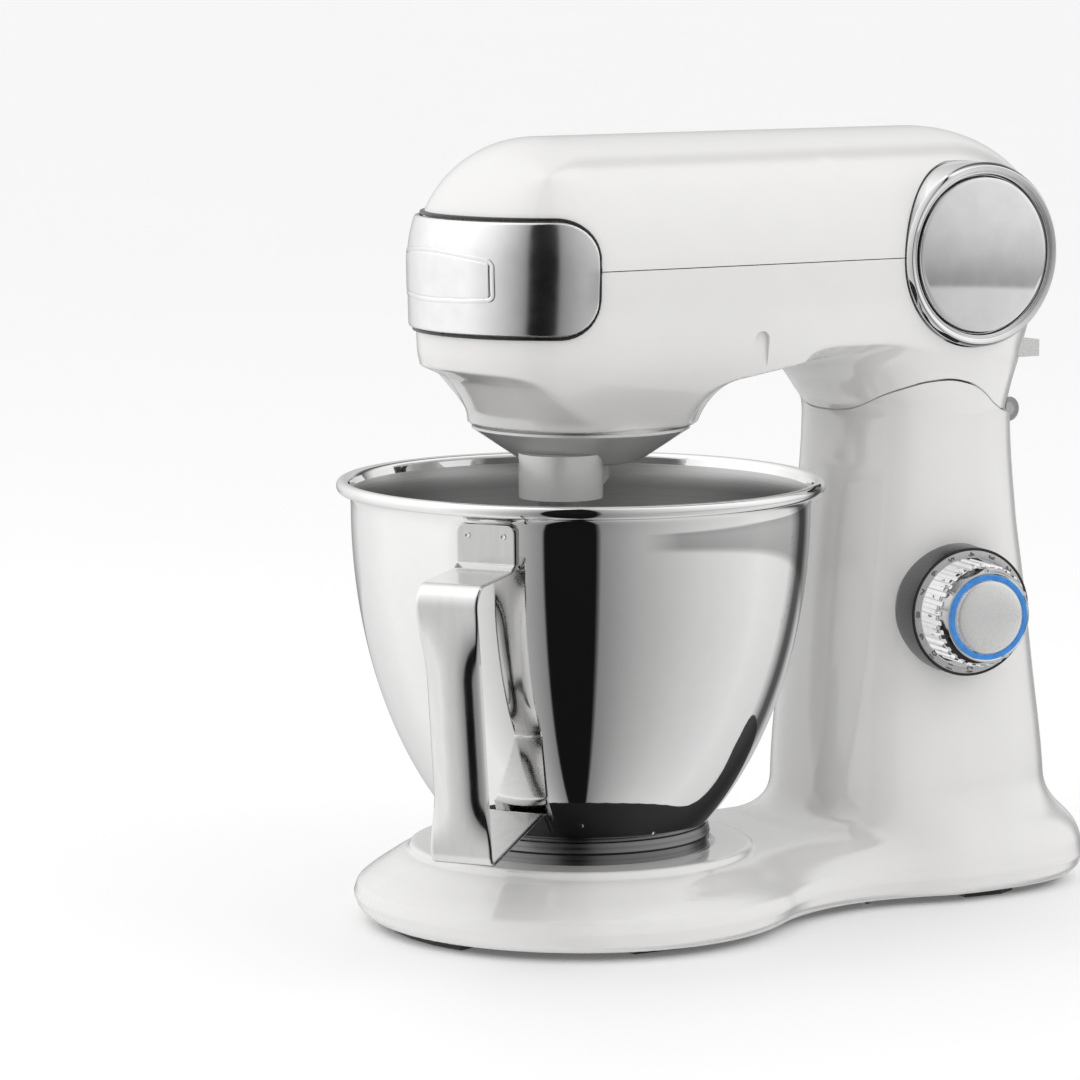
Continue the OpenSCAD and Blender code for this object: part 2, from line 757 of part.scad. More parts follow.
module carrier_bearings() {
    color(steel) {
        translate([0, 0, 242.1]) tube(13, carrier_shaft_r + 0.05, 7.8);
        translate([0, 0, 267.1]) tube(13, carrier_shaft_r + 0.05, 7.8);
    }
}

// Front drive socket: a sleeve for the hub of an attachment
module outlet_socket() {
    color(steel) difference() {
        rod_y(socket_r, -75.5, front_plate_y - 0.1, 0, main_z);
        rod_y(socket_bore_r, -80, -62, 0, main_z);
        rod_y(shaft_r + 1, -63, -50, 0, main_z);
    }
}

// One casting holds the hinge barrel and both bearings of the latch shaft
module tail_bracket() {
    color(cast) difference() {
        union() {
            along_x(-lug_half_w, lug_half_w) {
                translate([hinge_y, hinge_z]) circle(r = hinge_r);
                polygon([[hinge_y - 1, hinge_z + 5.5], [hinge_y - 4, hinge_z - 3.5], [202, 233], [190, 240.2], [200, 244]]);
            }
            block(-22, 22, 187, 200, 240, 244);
            both_sides() along_x(14.5, 17.5) {
                translate([latch_y, latch_z]) circle(r = 6.5);
                polygon([[190, 243], [200, 243], [latch_y + 4, latch_z - 5], [latch_y - 3, latch_z + 5.6], [198, 250]]);
            }
        }
        rod_x(hinge_pin_r + 1.3, -20, 20, hinge_y, hinge_z);
        rod_x(latch_shaft_r + 0.05, -20, 20, latch_y, latch_z);
    }
}

module hinge_bushes() {
    color(brass) both_sides() difference() {
        rod_x(hinge_pin_r + 1.28, 0.2, lug_half_w, hinge_y, hinge_z);
        rod_x(hinge_pin_r + 0.05, -1, 20, hinge_y, hinge_z);
    }
}

module lever_spring() {
    color(steel) translate([11.8, latch_y, latch_z]) rotate([0, 90, 0])
        for (i = [0 : 2]) translate([0, 0, 0.4 + 0.75 * i]) rotate_extrude() translate([4.2, 0]) circle(r = 0.35, $fn = 16);
}

// ---------------------------------------------------------------- latch

module release_lever() {
    color(silver_paint) difference() {
        union() {
            block(-13, 13, 234, 250, 248, 256);
            block(-5, 5, latch_y + 2, 236, 249.5, 254.5);
            rod_x(6, -5.5, 5.5, latch_y, latch_z);
        }
        rod_x(latch_shaft_r, -20, 20, latch_y, latch_z);
    }
}

module latch_shaft() {
    color(steel) rod_x(latch_shaft_r, -17.5, 17.5, latch_y, latch_z);
}

module latch_pawl() {
    color(steel) difference() {
        union() {
            both_sides() along_x(6, 10.5) {
                translate([latch_y, latch_z]) circle(r = 5.8);
                polygon([[latch_y, latch_z + 4], [186, latch_z + 3], [184, latch_z - 2], [188, latch_z - 3], [latch_y, latch_z - 5]]);
            }
            block(-10.5, 10.5, 185, 189, latch_z - 2.4, latch_z + 2.6);
        }
        rod_x(latch_shaft_r, -20, 20, latch_y, latch_z);
    }
}

// ---------------------------------------------------------------- drive

module rotor_shaft() {
    color(steel) {
        rod_y(3, 94, 222, 0, rotor_z);
        along_y(95, 106) translate([0, rotor_z]) rotate(idler_angle) polygon(gear_outline(m1, rotor_teeth));
    }
}

module armature() {
    color(copper) difference() {
        union() {
            rod_y(28.4, 132, 180, 0, rotor_z);
            rod_y(22, 126, 186, 0, rotor_z);
        }
        rod_y(3, 100, 230, 0, rotor_z);
        for (i = [0 : 11]) rotate_about(30 * i) block(-1, 1, 120, 200, rotor_z + 24, rotor_z + 30);
    }
}

module commutator() {
    color(copper) difference() {
        rod_y(11, 187, 197, 0, rotor_z);
        rod_y(3, 100, 230, 0, rotor_z);
    }
}

module cooling_fan() {
    color(nylon) difference() {
        union() {
            rod_y(8, 210, 220, 0, rotor_z);
            rod_y(30, 210, 211.5, 0, rotor_z);
            for (i = [0 : 8]) rotate_about(40 * i) block(-0.8, 0.8, 211, 219, rotor_z + 6, rotor_z + 29);
        }
        rod_y(3, 200, 230, 0, rotor_z);
    }
}

module idler_shaft() {
    color(steel) rod_y(4, mid_plate_y, rear_plate_y + 4, idler_x, idler_z);
}

module idler_gears() {
    color(nylon) difference() {
        union() {
            along_y(96, 105) translate([idler_x, idler_z])
                rotate(idler_angle + 180 + 180 / idler_teeth) polygon(gear_outline(m1, idler_teeth));
            along_y(77, 90) translate([idler_x, idler_z])
                rotate(main_angle) polygon(gear_outline(m2, idler_pinion_teeth));
            rod_y(7, 70, 97, idler_x, idler_z);
        }
        rod_y(4, 60, 120, idler_x, idler_z);
    }
}

module main_shaft() {
    color(steel) rod_y(shaft_r, -61.5, 92, 0, main_z);
}

module main_gear() {
    color(steel) difference() {
        along_y(79, 88) translate([0, main_z])
            rotate(main_angle + 180 + 180 / main_teeth) polygon(gear_outline(m2, main_teeth));
        rod_y(shaft_r, 60, 120, 0, main_z);
    }
}

module bevel_pinion() {
    color(steel) difference() {
        union() {
            translate([0, 30, main_z]) rotate([90, 0, 0]) linear_extrude(10, scale = 2 / 3)
                rotate(-90) polygon(bevel_outline(bevel_m, bevel_pinion_teeth, bevel_gear_teeth, 30));
            rod_y(9, 29.9, 42, 0, main_z);
        }
        rod_y(shaft_r, -5, 60, 0, main_z);
    }
}

module bevel_gear() {
    pitch_r = bevel_m * bevel_gear_teeth / 2;
    apex = bevel_m * bevel_pinion_teeth / 2;
    color(steel) difference() {
        union() {
            translate([0, 0, main_z - apex]) linear_extrude(apex / 3, scale = 2 / 3)
                rotate(90 + 180 / bevel_gear_teeth) polygon(bevel_outline(bevel_m, bevel_gear_teeth, bevel_pinion_teeth, apex));
            translate([0, 0, 279]) cylinder(r = 24, h = main_z - apex - 279 + 0.1);
            translate([0, 0, 275.4]) cylinder(r = 10.5, h = 5);
        }
        translate([0, 0, 260]) cylinder(r = carrier_shaft_r, h = 40);
        translate([0, 0, main_z - apex + 2]) cylinder(r = pitch_r * 0.56, h = 10);
    }
}

module carrier_shaft() {
    color(steel) translate([0, 0, 222]) cylinder(r = carrier_shaft_r, h = 62.5);
}

// A dish under the housing, with the beater's housing standing off to one side
module planet_carrier() {
    color(silver_paint) difference() {
        union() {
            rotate_extrude() polygon([[0, 212], [26, 212], [28, 212.6], [49.6, 227], [49.6, 228.2], [45.5, 228.2], [45.5, 231], [0, 231]]);
            translate([beater_at[0], beater_at[1], 198]) cylinder(r = 19, h = 20);
            hull() {
                translate([beater_at[0] * 0.9, beater_at[1] * 0.9, 200]) cylinder(r = 16, h = 14, $fn = 32);
                translate([0, 0, 204]) cylinder(r = 13, h = 10, $fn = 32);
            }
        }
        translate([0, 0, 222]) cylinder(r = carrier_shaft_r, h = 20);
        translate([beater_at[0], beater_at[1], 190]) cylinder(r = shaft_r + 0.05, h = 50);
    }
}

module beater_shaft() {
    color(steel) translate(beater_at) {
        translate([0, 0, 190]) cylinder(r = shaft_r, h = 51.3);
        translate([0, 0, 192]) cylinder(r = 10, h = 5.6);
        translate([0, 0, 186]) cylinder(r = pin_r + 1, h = 6.5);
        translate([0, 0, 168]) cylinder(r = pin_r, h = 18.5);
        translate([0, 0, 166.4]) cylinder(r1 = pin_r - 1.6, r2 = pin_r, h = 1.6);
        rod_x(1.6, -10, 10, 0, 189.4);
    }
}

module beater_pinion() {
    color(steel) translate(beater_at) translate([0, 0, 232.4]) linear_extrude(8) difference() {
        rotate(beater_angle) polygon(gear_outline(m2, planet_teeth));
        circle(r = shaft_r);
    }
}

// ---------------------------------------------------------------- dial

module speed_dial() {
    ribs = 32;
    color(chrome) at_dial() difference() {
        union() {
            translate([0, 0, -12]) cylinder(r = dial_r - 2, h = 12);
            linear_extrude(12) polygon([for (i = [0 : 4 * ribs - 1]) polar(dial_r - (i % 4 < 2 ? 0 : 1), 90 / ribs * i)]);
            translate([0, 0, 12]) cylinder(r1 = dial_r - 1.2, r2 = 20.6, h = 6);
            translate([0, 0, -29.5]) cylinder(r = 3, h = 18);
        }
        translate([0, 0, 14]) cylinder(r = 20, h = 10);
    }
}

module dial_light_ring() {
    color(blue_light) at_dial() translate([0, 0, 14]) tube(19.95, 17.05, 5.4);
}

module dial_cap() {
    color(silver_paint) at_dial() rotate_extrude()
        polygon([[0, 14], [17, 14], [17, 18.8], [15, 20.2], [10, 21], [0, 21.4]]);
}

// ---------------------------------------------------------------- bowl

// Outer radius of the bowl's wall at height z
function bowl_radius(z) = 104.6 * sqrt(1 - pow((192 - z) / 175, 2));

module bowl() {
    outer = concat([for (z = bowl_levels) [bowl_radius(z), z]], [[106, 197.6], [rim_r - 3, 198.4]]);
    inner = concat([for (z = bowl_levels) [bowl_radius(z) - bowl_t, z + bowl_t * 0.5]],
        [[105, 198.6], [rim_r - 3, 199.4]]);
    color(chrome) rotate_extrude($fn = 128) {
        polygon(concat([[0, bowl_floor_z], [38, bowl_floor_z]], outer,
            [for (i = [len(inner) - 1 : -1 : 0]) inner[i]], [[38, bowl_floor_z + bowl_t], [0, bowl_floor_z + bowl_t]]));
        translate([rim_r - 3, rim_z]) circle(r = 3, $fn = 32);
    }
}

// Foot of the bowl: three tabs inside it turn under the hooks of the lock plate
module bowl_foot_ring() {
    z0 = seat_floor_z + 2.6;
    color(dark_steel) {
        rotate_extrude($fn = 128) polygon([[55, z0], [59.1, z0], [59.6, 36], [59.2, 43], [58.4, 46],
            [57.9, 45.8], [56.7, 44.5], [55, 38]]);
        for (i = [0 : 2]) rotate(22 + 120 * i) translate([0, 0, z0]) rotate_extrude(angle = 20)
            polygon([[50.6, 0.4], [55.2, 0.4], [55.2, 2], [50.6, 2]]);
    }
}

// One folded steel strip: it stands out from the wall and comes back under the belly
module bowl_handle() {
    path = [[106.2, 194], [105.7, 174], [146, 170], [130, 50], [74, 62], [68.4, 54]];
    color(steel) rotate(handle_az - 90) rotate([90, 0, 0]) translate([0, 0, -14.5]) linear_extrude(29) strip(path, 1.4);
}

// ---------------------------------------------------------------- assembly

base_casting();
base_bottom_plate();
rubber_feet();
base_plate_screws();
bowl_lock_plate();
lock_plate_screws();
hinge_bracket();
hinge_pin();
bracket_screws();
latch_striker();
dial_bezel();
dial_encoder();
control_board();
power_supply();
cord_gland();
head_casing();
head_top_cover();
cover_screws();
band_gasket();
side_disc_rings();
side_discs();
gear_frame();
gear_frame_screws();
ring_gear();
motor_can();
motor_magnets();
motor_end_bells();
brush_holders();
shaft_bearings();
carrier_bearings();
outlet_socket();
tail_bracket();
hinge_bushes();
lever_spring();
release_lever();
latch_shaft();
latch_pawl();
rotor_shaft();
armature();
commutator();
cooling_fan();
idler_shaft();
idler_gears();
main_shaft();
main_gear();
bevel_pinion();
planet_carrier();
carrier_shaft();
bevel_gear();
beater_shaft();
beater_pinion();
speed_dial();
dial_light_ring();
dial_cap();
outlet_cover();
bowl();
bowl_foot_ring();
bowl_handle();
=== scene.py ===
import json
import math

import bmesh
import bpy
import numpy as np
from mathutils import Matrix, Vector


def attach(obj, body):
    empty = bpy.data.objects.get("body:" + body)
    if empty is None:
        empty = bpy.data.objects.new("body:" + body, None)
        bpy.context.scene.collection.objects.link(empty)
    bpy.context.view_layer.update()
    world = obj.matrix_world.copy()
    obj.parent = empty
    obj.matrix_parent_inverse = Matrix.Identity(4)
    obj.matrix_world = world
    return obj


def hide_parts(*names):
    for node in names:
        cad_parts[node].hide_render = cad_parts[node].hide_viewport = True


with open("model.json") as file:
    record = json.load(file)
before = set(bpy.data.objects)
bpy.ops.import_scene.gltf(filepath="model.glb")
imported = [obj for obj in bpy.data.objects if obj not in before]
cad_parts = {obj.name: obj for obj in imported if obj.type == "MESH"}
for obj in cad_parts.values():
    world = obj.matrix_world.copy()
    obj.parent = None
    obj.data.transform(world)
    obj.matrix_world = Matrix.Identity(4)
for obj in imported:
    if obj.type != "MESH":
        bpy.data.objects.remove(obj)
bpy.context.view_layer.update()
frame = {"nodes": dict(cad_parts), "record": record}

MM = 0.001
SEAM_Z = 302.0          # parting line between top cover and lower casing, mm
HINGE_Y, HINGE_Z, HINGE_R = 224.0, 225.0, 6.2
DISC_Y, DISC_Z, DISC_R = 180.0, 302.0, 42.6
SOCKET_Z, SOCKET_R = 297.13, 14.2       # the front drive socket's opening
WALL = 3.0              # thickness of the white shells
CROWN = 57.0            # height of the head above its parting line


# ------------------------------------------------------------------ fields
# A field is negative inside a solid and close to a distance in mm near its surface.

def mix(a, b, t):
    return a * (1 - t) + b * t


def smooth(t):
    t = np.clip(t, 0.0, 1.0)
    return t * t * (3 - 2 * t)


def table(v, pairs):
    """A smooth curve through the pairs that never overshoots them, level beyond its ends."""
    x = np.array([p[0] for p in pairs], float)
    y = np.array([p[1] for p in pairs], float)
    h, d = np.diff(x), np.diff(y) / np.diff(x)
    m = np.empty(len(x))
    w0, w1 = 2 * h[1:] + h[:-1], h[1:] + 2 * h[:-1]
    same = d[:-1] * d[1:] > 0
    safe0, safe1 = np.where(same, d[:-1], 1.0), np.where(same, d[1:], 1.0)
    m[1:-1] = np.where(same, (w0 + w1) / (w0 / safe0 + w1 / safe1), 0.0)
    m[0], m[-1] = d[0], d[-1]
    v = np.clip(v, x[0], x[-1])
    i = np.clip(np.searchsorted(x, v, side="right") - 1, 0, len(x) - 2)
    t = (v - x[i]) / h[i]
    return ((2 * t ** 3 - 3 * t ** 2 + 1) * y[i] + (t ** 3 - 2 * t ** 2 + t) * h[i] * m[i]
            + (3 * t ** 2 - 2 * t ** 3) * y[i + 1] + (t ** 3 - t ** 2) * h[i] * m[i + 1])


def soft_min(a, b, k):
    h = np.clip(0.5 + 0.5 * (b - a) / k, 0.0, 1.0)
    return mix(b, a, h) - k * h * (1 - h)


def soft_max(a, b, k):
    return -soft_min(-a, -b, k)


# Half widths, lengths and radii in mm, each against the height z in mm
WALL_HALF = [(225, 45), (231, 46.5), (238, 49), (249, 53.5), (258, 56.3), (264, 57.4), (285, 59.2), (302, 60)]
NOSE_LEN = [(229, 49), (238, 50), (249, 52), (255, 53), (264, 54.5), (302, 55)]
TAIL_LEN = [(222, 47.5), (230, 48.2), (241, 50), (257, 55), (275, 61), (302, 68)]
CHIN_FRONT = [(229, 51.4), (234.5, 52), (238.5, 53.6), (246.5, 58.4), (250, 61.4), (252.4, 65), (255, 71),
              (262, 90)]
CHIN_SIDE = [(229, 51.6), (232, 52.6), (237, 56.6), (243, 62.4), (248, 67.2), (252, 71.5), (256, 78),
             (262, 90)]
CHIN_REAR = [(229, 52.6), (236, 56), (241, 59.6), (245, 63.6), (248, 68.2), (250, 73), (252, 82), (256, 100)]
POST_FRONT = [(20, 119), (50, 119), (140, 127), (225, 134.5), (230, 134), (236, 130), (244, 124),
              (250, 118.5), (258, 113), (302, 104)]
POST_REAR = [(20, 249.5), (50, 248.5), (104, 242), (148, 236), (178, 231.5), (225, 228), (241, 230),
             (257, 235), (275, 241), (302, 246)]
POST_HALF = [(20, 57), (50, 56), (104, 52.5), (148, 50), (225, 46.5), (236, 48), (244, 50), (254, 54),
             (263, 57), (285, 59), (302, 59.5)]


def head_wall(x, y, z):
    """The head seen as a tube: domed above the parting line, upright walls below it."""
    front = np.maximum(-22.0 - y, 0.0) / table(z, NOSE_LEN)
    rear = np.maximum(y - 180.0, 0.0) / table(z, TAIL_LEN)
    ends = np.maximum(front, rear)
    wide = 3.5 * smooth((y - 105) / 40) * smooth((258 - z) / 14)
    side = np.abs(x) / (table(z, WALL_HALF) + wide)
    crown = np.maximum(z - SEAM_Z, 0.0) / CROWN
    section = (side ** 2.15 + crown ** 2.15) ** (1 / 2.15)
    return (np.sqrt(section ** 2 + ends ** 2) - 1) * CROWN


def post(x, y, z):
    """Column and neck."""
    f, r, a = table(z, POST_FRONT), table(z, POST_REAR), table(z, POST_HALF)
    mid, half = (f + r) / 2, (r - f) / 2
    q = (np.abs(x / a) ** 2.45 + np.abs((y - mid) / half) ** 2.3) ** (1 / 2.4)
    return (q - 1) * 50.0


def head_field(x, y, z):
    """Tube, chin round the drive's axis and neck, blended."""
    r = np.sqrt(x * x + y * y)
    sideways = smooth((np.abs(x) / np.maximum(r, 1.0) - 0.48) / 0.34)
    rear = smooth((y + 12) / 40)
    front = smooth((-8 - y) / 26)
    radius = mix(mix(table(z, CHIN_FRONT), table(z, CHIN_SIDE), sideways), table(z, CHIN_REAR), rear)
    chin = soft_max((r - radius) * 0.72, 229.2 - z, 1.2)
    wall = head_wall(x, y, z)
    arch = smooth((y - 5) / 45)
    height = mix(mix(262.0, 251 + 12 * np.minimum((x / 57.0) ** 2, 1.2), arch), 252.4, front)
    belly = soft_max(height - z, wall, mix(1.6, 17.0, front))
    under = soft_min(chin, belly, mix(13.0, 2.5, front))
    neck = soft_max(post(x, y, z), 215.0 - z, 1.0)
    under = soft_min(under, neck, 11.0)
    return soft_max(under, wall, 1.6)


def base_outline():
    """Half outline of the base as arcs: round front, waist, bulge and a squarish rear."""
    front_r, waist, rear, bulge, waist_y, end_y = 104.0, 64.0, 73.0, 80.0, 122.0, 264.0
    wr = (waist ** 2 + waist_y ** 2 - front_r ** 2) / (2 * (front_r - waist))
    wx = waist + wr
    bx = rear - bulge
    by = waist_y + math.sqrt((wr + bulge) ** 2 - (wx - bx) ** 2)
    a0 = math.atan2(waist_y, wx)
    a1 = math.atan2(by - waist_y, bx - wx)
    a2 = math.atan2(waist_y - by, wx - bx)
    points = [(front_r * math.cos(a), front_r * math.sin(a))
              for a in np.linspace(-math.pi / 2, a0, 49)[:-1]]
    points += [(wx + wr * math.cos(a), waist_y + wr * math.sin(a))
               for a in np.linspace(a0 + math.pi, a1, 25)[:-1]]
    points += [(bx + bulge * math.cos(a), by + bulge * math.sin(a)) for a in np.linspace(a2, 0, 9)[:-1]]
    points += [(rear * math.cos(t) ** 0.72, by + (end_y - by) * math.sin(t) ** 0.72)
               for t in np.linspace(0, math.pi / 2 - 1e-6, 33)]
    right = np.array(points)
    left = right[-2:0:-1] * [-1, 1]
    return np.vstack([right, left])


OUTLINE = base_outline()
GRID_STEP = 0.5
GRID_X = np.arange(-112, 112.1, GRID_STEP)
GRID_Y = np.arange(-112, 272.1, GRID_STEP)


def inset_grid():
    """How far each grid place lies inside the base's outline, negative outside it."""
    shape = (len(GRID_X), len(GRID_Y))
    px = np.broadcast_to(GRID_X[:, None], shape).ravel()
    py = np.broadcast_to(GRID_Y[None, :], shape).ravel()
    best = np.full(px.size, 1e9)
    inside = np.zeros(px.size, bool)
    for (ax, ay), (bx, by) in zip(OUTLINE, np.roll(OUTLINE, -1, axis=0)):
        dx, dy = bx - ax, by - ay
        t = np.clip(((px - ax) * dx + (py - ay) * dy) / (dx * dx + dy * dy), 0, 1)
        best = np.minimum(best, (px - ax - t * dx) ** 2 + (py - ay - t * dy) ** 2)
        inside ^= ((ay > py) != (by > py)) & (px < dx * (py - ay) / (dy if dy else 1e-9) + ax)
    return (np.sqrt(best) * np.where(inside, 1, -1)).reshape(shape)


INSET = inset_grid()


def inset_of(x, y):
    """The inset grid read between its places."""
    u = np.clip((x - GRID_X[0]) / GRID_STEP, 0, len(GRID_X) - 1.001)
    v = np.clip((y - GRID_Y[0]) / GRID_STEP, 0, len(GRID_Y) - 1.001)
    i, j = np.floor(u).astype(int), np.floor(v).astype(int)
    a, b = u - i, v - j
    return mix(mix(INSET[i, j], INSET[i + 1, j], a), mix(INSET[i, j + 1], INSET[i + 1, j + 1], a), b)


# Heights of the base's top and underside against the distance in from its outline, in mm
RISE_FRONT = [(-4, 11), (0, 14.2), (1.5, 18), (4, 20.4), (12, 26.2), (25, 33.2), (36, 34), (400, 34)]
RISE_REAR = [(-4, 8), (0, 14.2), (1.5, 22), (5, 29), (10, 33), (18, 35.6), (27, 36), (400, 36)]
FALL = [(-4, 17), (0, 12.8), (2, 8), (8, 4), (400, 4)]


def stand_field(x, y, z):
    """Base, raised bowl seat and column."""
    e = inset_of(x, y)
    rise = mix(table(e, RISE_FRONT), table(e, RISE_REAR), smooth((y - 70) / 100))
    fall = table(e, FALL)
    slab = soft_max((z - rise) * 0.78, (fall - z) * 0.7, 2.0)
    r = np.sqrt(x * x + y * y)
    boss = soft_max(r - 78.6, soft_max(z - 36.4, 25 - z, 1.0), 2.4)
    slab = soft_min(slab, boss, 2.0)
    column = soft_max(post(x, y, z), np.maximum(15.0 - z, z - 250.0), 1.0)
    return soft_min(slab, column, 13.0)


# ------------------------------------------------------------------ meshing

def gradient(field, p, h=0.3):
    """Slope of a field at the points p, by central differences."""
    g = np.empty_like(p)
    for i in range(3):
        d = np.zeros(3)
        d[i] = h
        q0, q1 = p - d, p + d
        g[:, i] = (field(q1[:, 0], q1[:, 1], q1[:, 2]) - field(q0[:, 0], q0[:, 1], q0[:, 2])) / (2 * h)
    return g


def project(field, p, rounds=2):
    """Moves points along the slope onto the field's zero surface."""
    for _ in range(rounds):
        g = gradient(field, p)
        v = field(p[:, 0], p[:, 1], p[:, 2])
        move = -v[:, None] * g / np.maximum((g * g).sum(1), 1e-6)[:, None]
        length = np.linalg.norm(move, axis=1, keepdims=True)
        p = p + move * np.minimum(1, 1.5 / np.maximum(length, 1e-9))
    return p


def surface(field, low, high, step, relax=3):
    """Points (mm) and quads on the zero surface of a field."""
    axes = [np.arange(a, b + step, step) for a, b in zip(low, high)]
    x, y, z = axes[0][:, None, None], axes[1][None, :, None], axes[2][None, None, :]
    v = field(x, y, z)
    v = np.broadcast_to(v, (len(axes[0]), len(axes[1]), len(axes[2])))
    solid = v < 0
    nx, ny, nz = (n - 1 for n in solid.shape)
    count = sum(solid[i:nx + i, j:ny + j, k:nz + k].astype(np.int8)
                for i in (0, 1) for j in (0, 1) for k in (0, 1))
    active = (count > 0) & (count < 8)
    index = np.full(active.shape, -1, np.int64)
    cells = np.argwhere(active)
    index[active] = np.arange(len(cells))
    p = np.stack([axes[i][cells[:, i]] + step / 2 for i in range(3)], 1)
    quads = []
    for axis in range(3):
        u, w = (axis + 1) % 3, (axis + 2) % 3
        a = np.take(solid, range(solid.shape[axis] - 1), axis)
        b = np.take(solid, range(1, solid.shape[axis]), axis)
        for flip, change in ((False, a & ~b), (True, ~a & b)):
            at = np.argwhere(change)
            at = at[(at[:, u] > 0) & (at[:, w] > 0)
                    & (at[:, u] < active.shape[u]) & (at[:, w] < active.shape[w])]
            ring = []
            for du, dw in ((1, 1), (0, 1), (0, 0), (1, 0)):
                c = at.copy()
                c[:, u] -= du
                c[:, w] -= dw
                ring.append(index[c[:, 0], c[:, 1], c[:, 2]])
            q = np.stack(ring, 1)
            quads.append(q[:, ::-1] if flip else q)
    quads = np.concatenate(quads)
    p = project(field, p)
    edges = np.concatenate([quads[:, [i, (i + 1) % 4]] for i in range(4)])
    for _ in range(relax):
        total = np.zeros_like(p)
        number = np.zeros(len(p))
        np.add.at(total, edges[:, 0], p[edges[:, 1]])
        np.add.at(number, edges[:, 0], 1)
        p = project(field, mix(p, total / number[:, None], 0.6), 1)
    return project(field, p, 2), quads


def make_mesh(name, points, faces):
    """A linked object from points in mm and faces."""
    mesh = bpy.data.meshes.new(name)
    corners = [tuple(q) for q in np.asarray(points) * MM]
    mesh.from_pydata(corners, [], [tuple(int(i) for i in f) for f in faces])
    mesh.validate()
    mesh.update()
    piece = bpy.data.objects.new(name, mesh)
    bpy.context.scene.collection.objects.link(piece)
    return piece


def from_field(name, field, low, high, step, relax=3):
    return make_mesh(name, *surface(field, low, high, step, relax))


def cut(piece, tool, how="DIFFERENCE"):
    """Cuts a piece with a closed tool and drops the tool."""
    step = piece.modifiers.new("cut", "BOOLEAN")
    step.operation = how
    step.object = tool
    step.solver = "MANIFOLD"
    bpy.context.view_layer.update()
    done = bpy.data.meshes.new_from_object(piece.evaluated_get(bpy.context.evaluated_depsgraph_get()))
    if not len(done.polygons):
        raise RuntimeError(f"cutting {piece.name} with {tool.name} left nothing")
    old = piece.data
    piece.modifiers.clear()
    piece.data = done
    bpy.data.meshes.remove(old)
    bpy.data.objects.remove(tool)
    return piece


def copy_of(piece, name):
    other = piece.copy()
    other.data = piece.data.copy()
    other.name = name
    bpy.context.scene.collection.objects.link(other)
    return other


def block(x0, x1, y0, y1, z0, z1):
    corners = [(x, y, z) for x in (x0, x1) for y in (y0, y1) for z in (z0, z1)]
    faces = [(0, 1, 3, 2), (4, 6, 7, 5), (0, 4, 5, 1), (2, 3, 7, 6), (0, 2, 6, 4), (1, 5, 7, 3)]
    return make_mesh("tool", corners, faces)


def prism(points):
    """A closed tool from two equal rings of points."""
    n = len(points) // 2
    faces = [tuple(range(n - 1, -1, -1)), tuple(range(n, 2 * n))]
    faces += [(i, (i + 1) % n, n + (i + 1) % n, n + i) for i in range(n)]
    return make_mesh("tool", points, faces)


def prism_x(outline, x0, x1):
    """A closed prism along X from an outline in Y and Z, given counter-clockwise."""
    return prism([(x, y, z) for x in (x0, x1) for y, z in outline])


def round_bar(axis, centre, r, a, b, n=96):
    """A closed cylinder along X, Y or Z from a to b; centre gives the other two in cyclic order."""
    k = "XYZ".index(axis)
    u, w = (k + 1) % 3, (k + 2) % 3
    points = []
    for end in (a, b):
        for i in range(n):
            p = [0.0, 0.0, 0.0]
            p[k] = end
            p[u] = centre[0] + r * math.cos(2 * math.pi * i / n)
            p[w] = centre[1] + r * math.sin(2 * math.pi * i / n)
            points.append(p)
    return prism(points)


def true_normals(piece, field):
    """Gives the points that lie on a field's surface that surface's own normals."""
    mesh = piece.data
    co = np.empty(len(mesh.vertices) * 3)
    mesh.vertices.foreach_get("co", co)
    co = co.reshape(-1, 3) / MM
    g = gradient(field, co)
    g /= np.maximum(np.linalg.norm(g, axis=1, keepdims=True), 1e-9)
    on = np.abs(field(co[:, 0], co[:, 1], co[:, 2])) < 0.08
    corner = np.empty(len(mesh.loops), np.int64)
    mesh.loops.foreach_get("vertex_index", corner)
    starts = np.empty(len(mesh.polygons), np.int64)
    mesh.polygons.foreach_get("loop_start", starts)
    totals = np.empty(len(mesh.polygons), np.int64)
    mesh.polygons.foreach_get("loop_total", totals)
    flat = np.empty(len(mesh.polygons) * 3)
    mesh.polygons.foreach_get("normal", flat)
    flat = np.repeat(flat.reshape(-1, 3), totals, axis=0)
    order = np.concatenate([np.arange(s, s + t) for s, t in zip(starts, totals)])
    mesh.shade_smooth()
    normals = np.empty((len(corner), 3))
    own = g[corner[order]]
    near = (own * flat).sum(1) > 0.8
    good = on[corner[order]] & near
    normals[order] = np.where(good[:, None], own, flat)
    mesh.normals_split_custom_set([tuple(v) for v in normals])


def tidy_mesh(piece, matrix=None):
    """Turns all faces outwards and places the mesh."""
    work = bmesh.new()
    work.from_mesh(piece.data)
    bmesh.ops.recalc_face_normals(work, faces=work.faces)
    if matrix is not None:
        work.transform(matrix)
    work.to_mesh(piece.data)
    work.free()


def smooth_by_angle(piece, degrees=35):
    piece.data.shade_smooth()
    piece.data.set_sharp_from_angle(angle=math.radians(degrees))


# ------------------------------------------------------------------ shapes

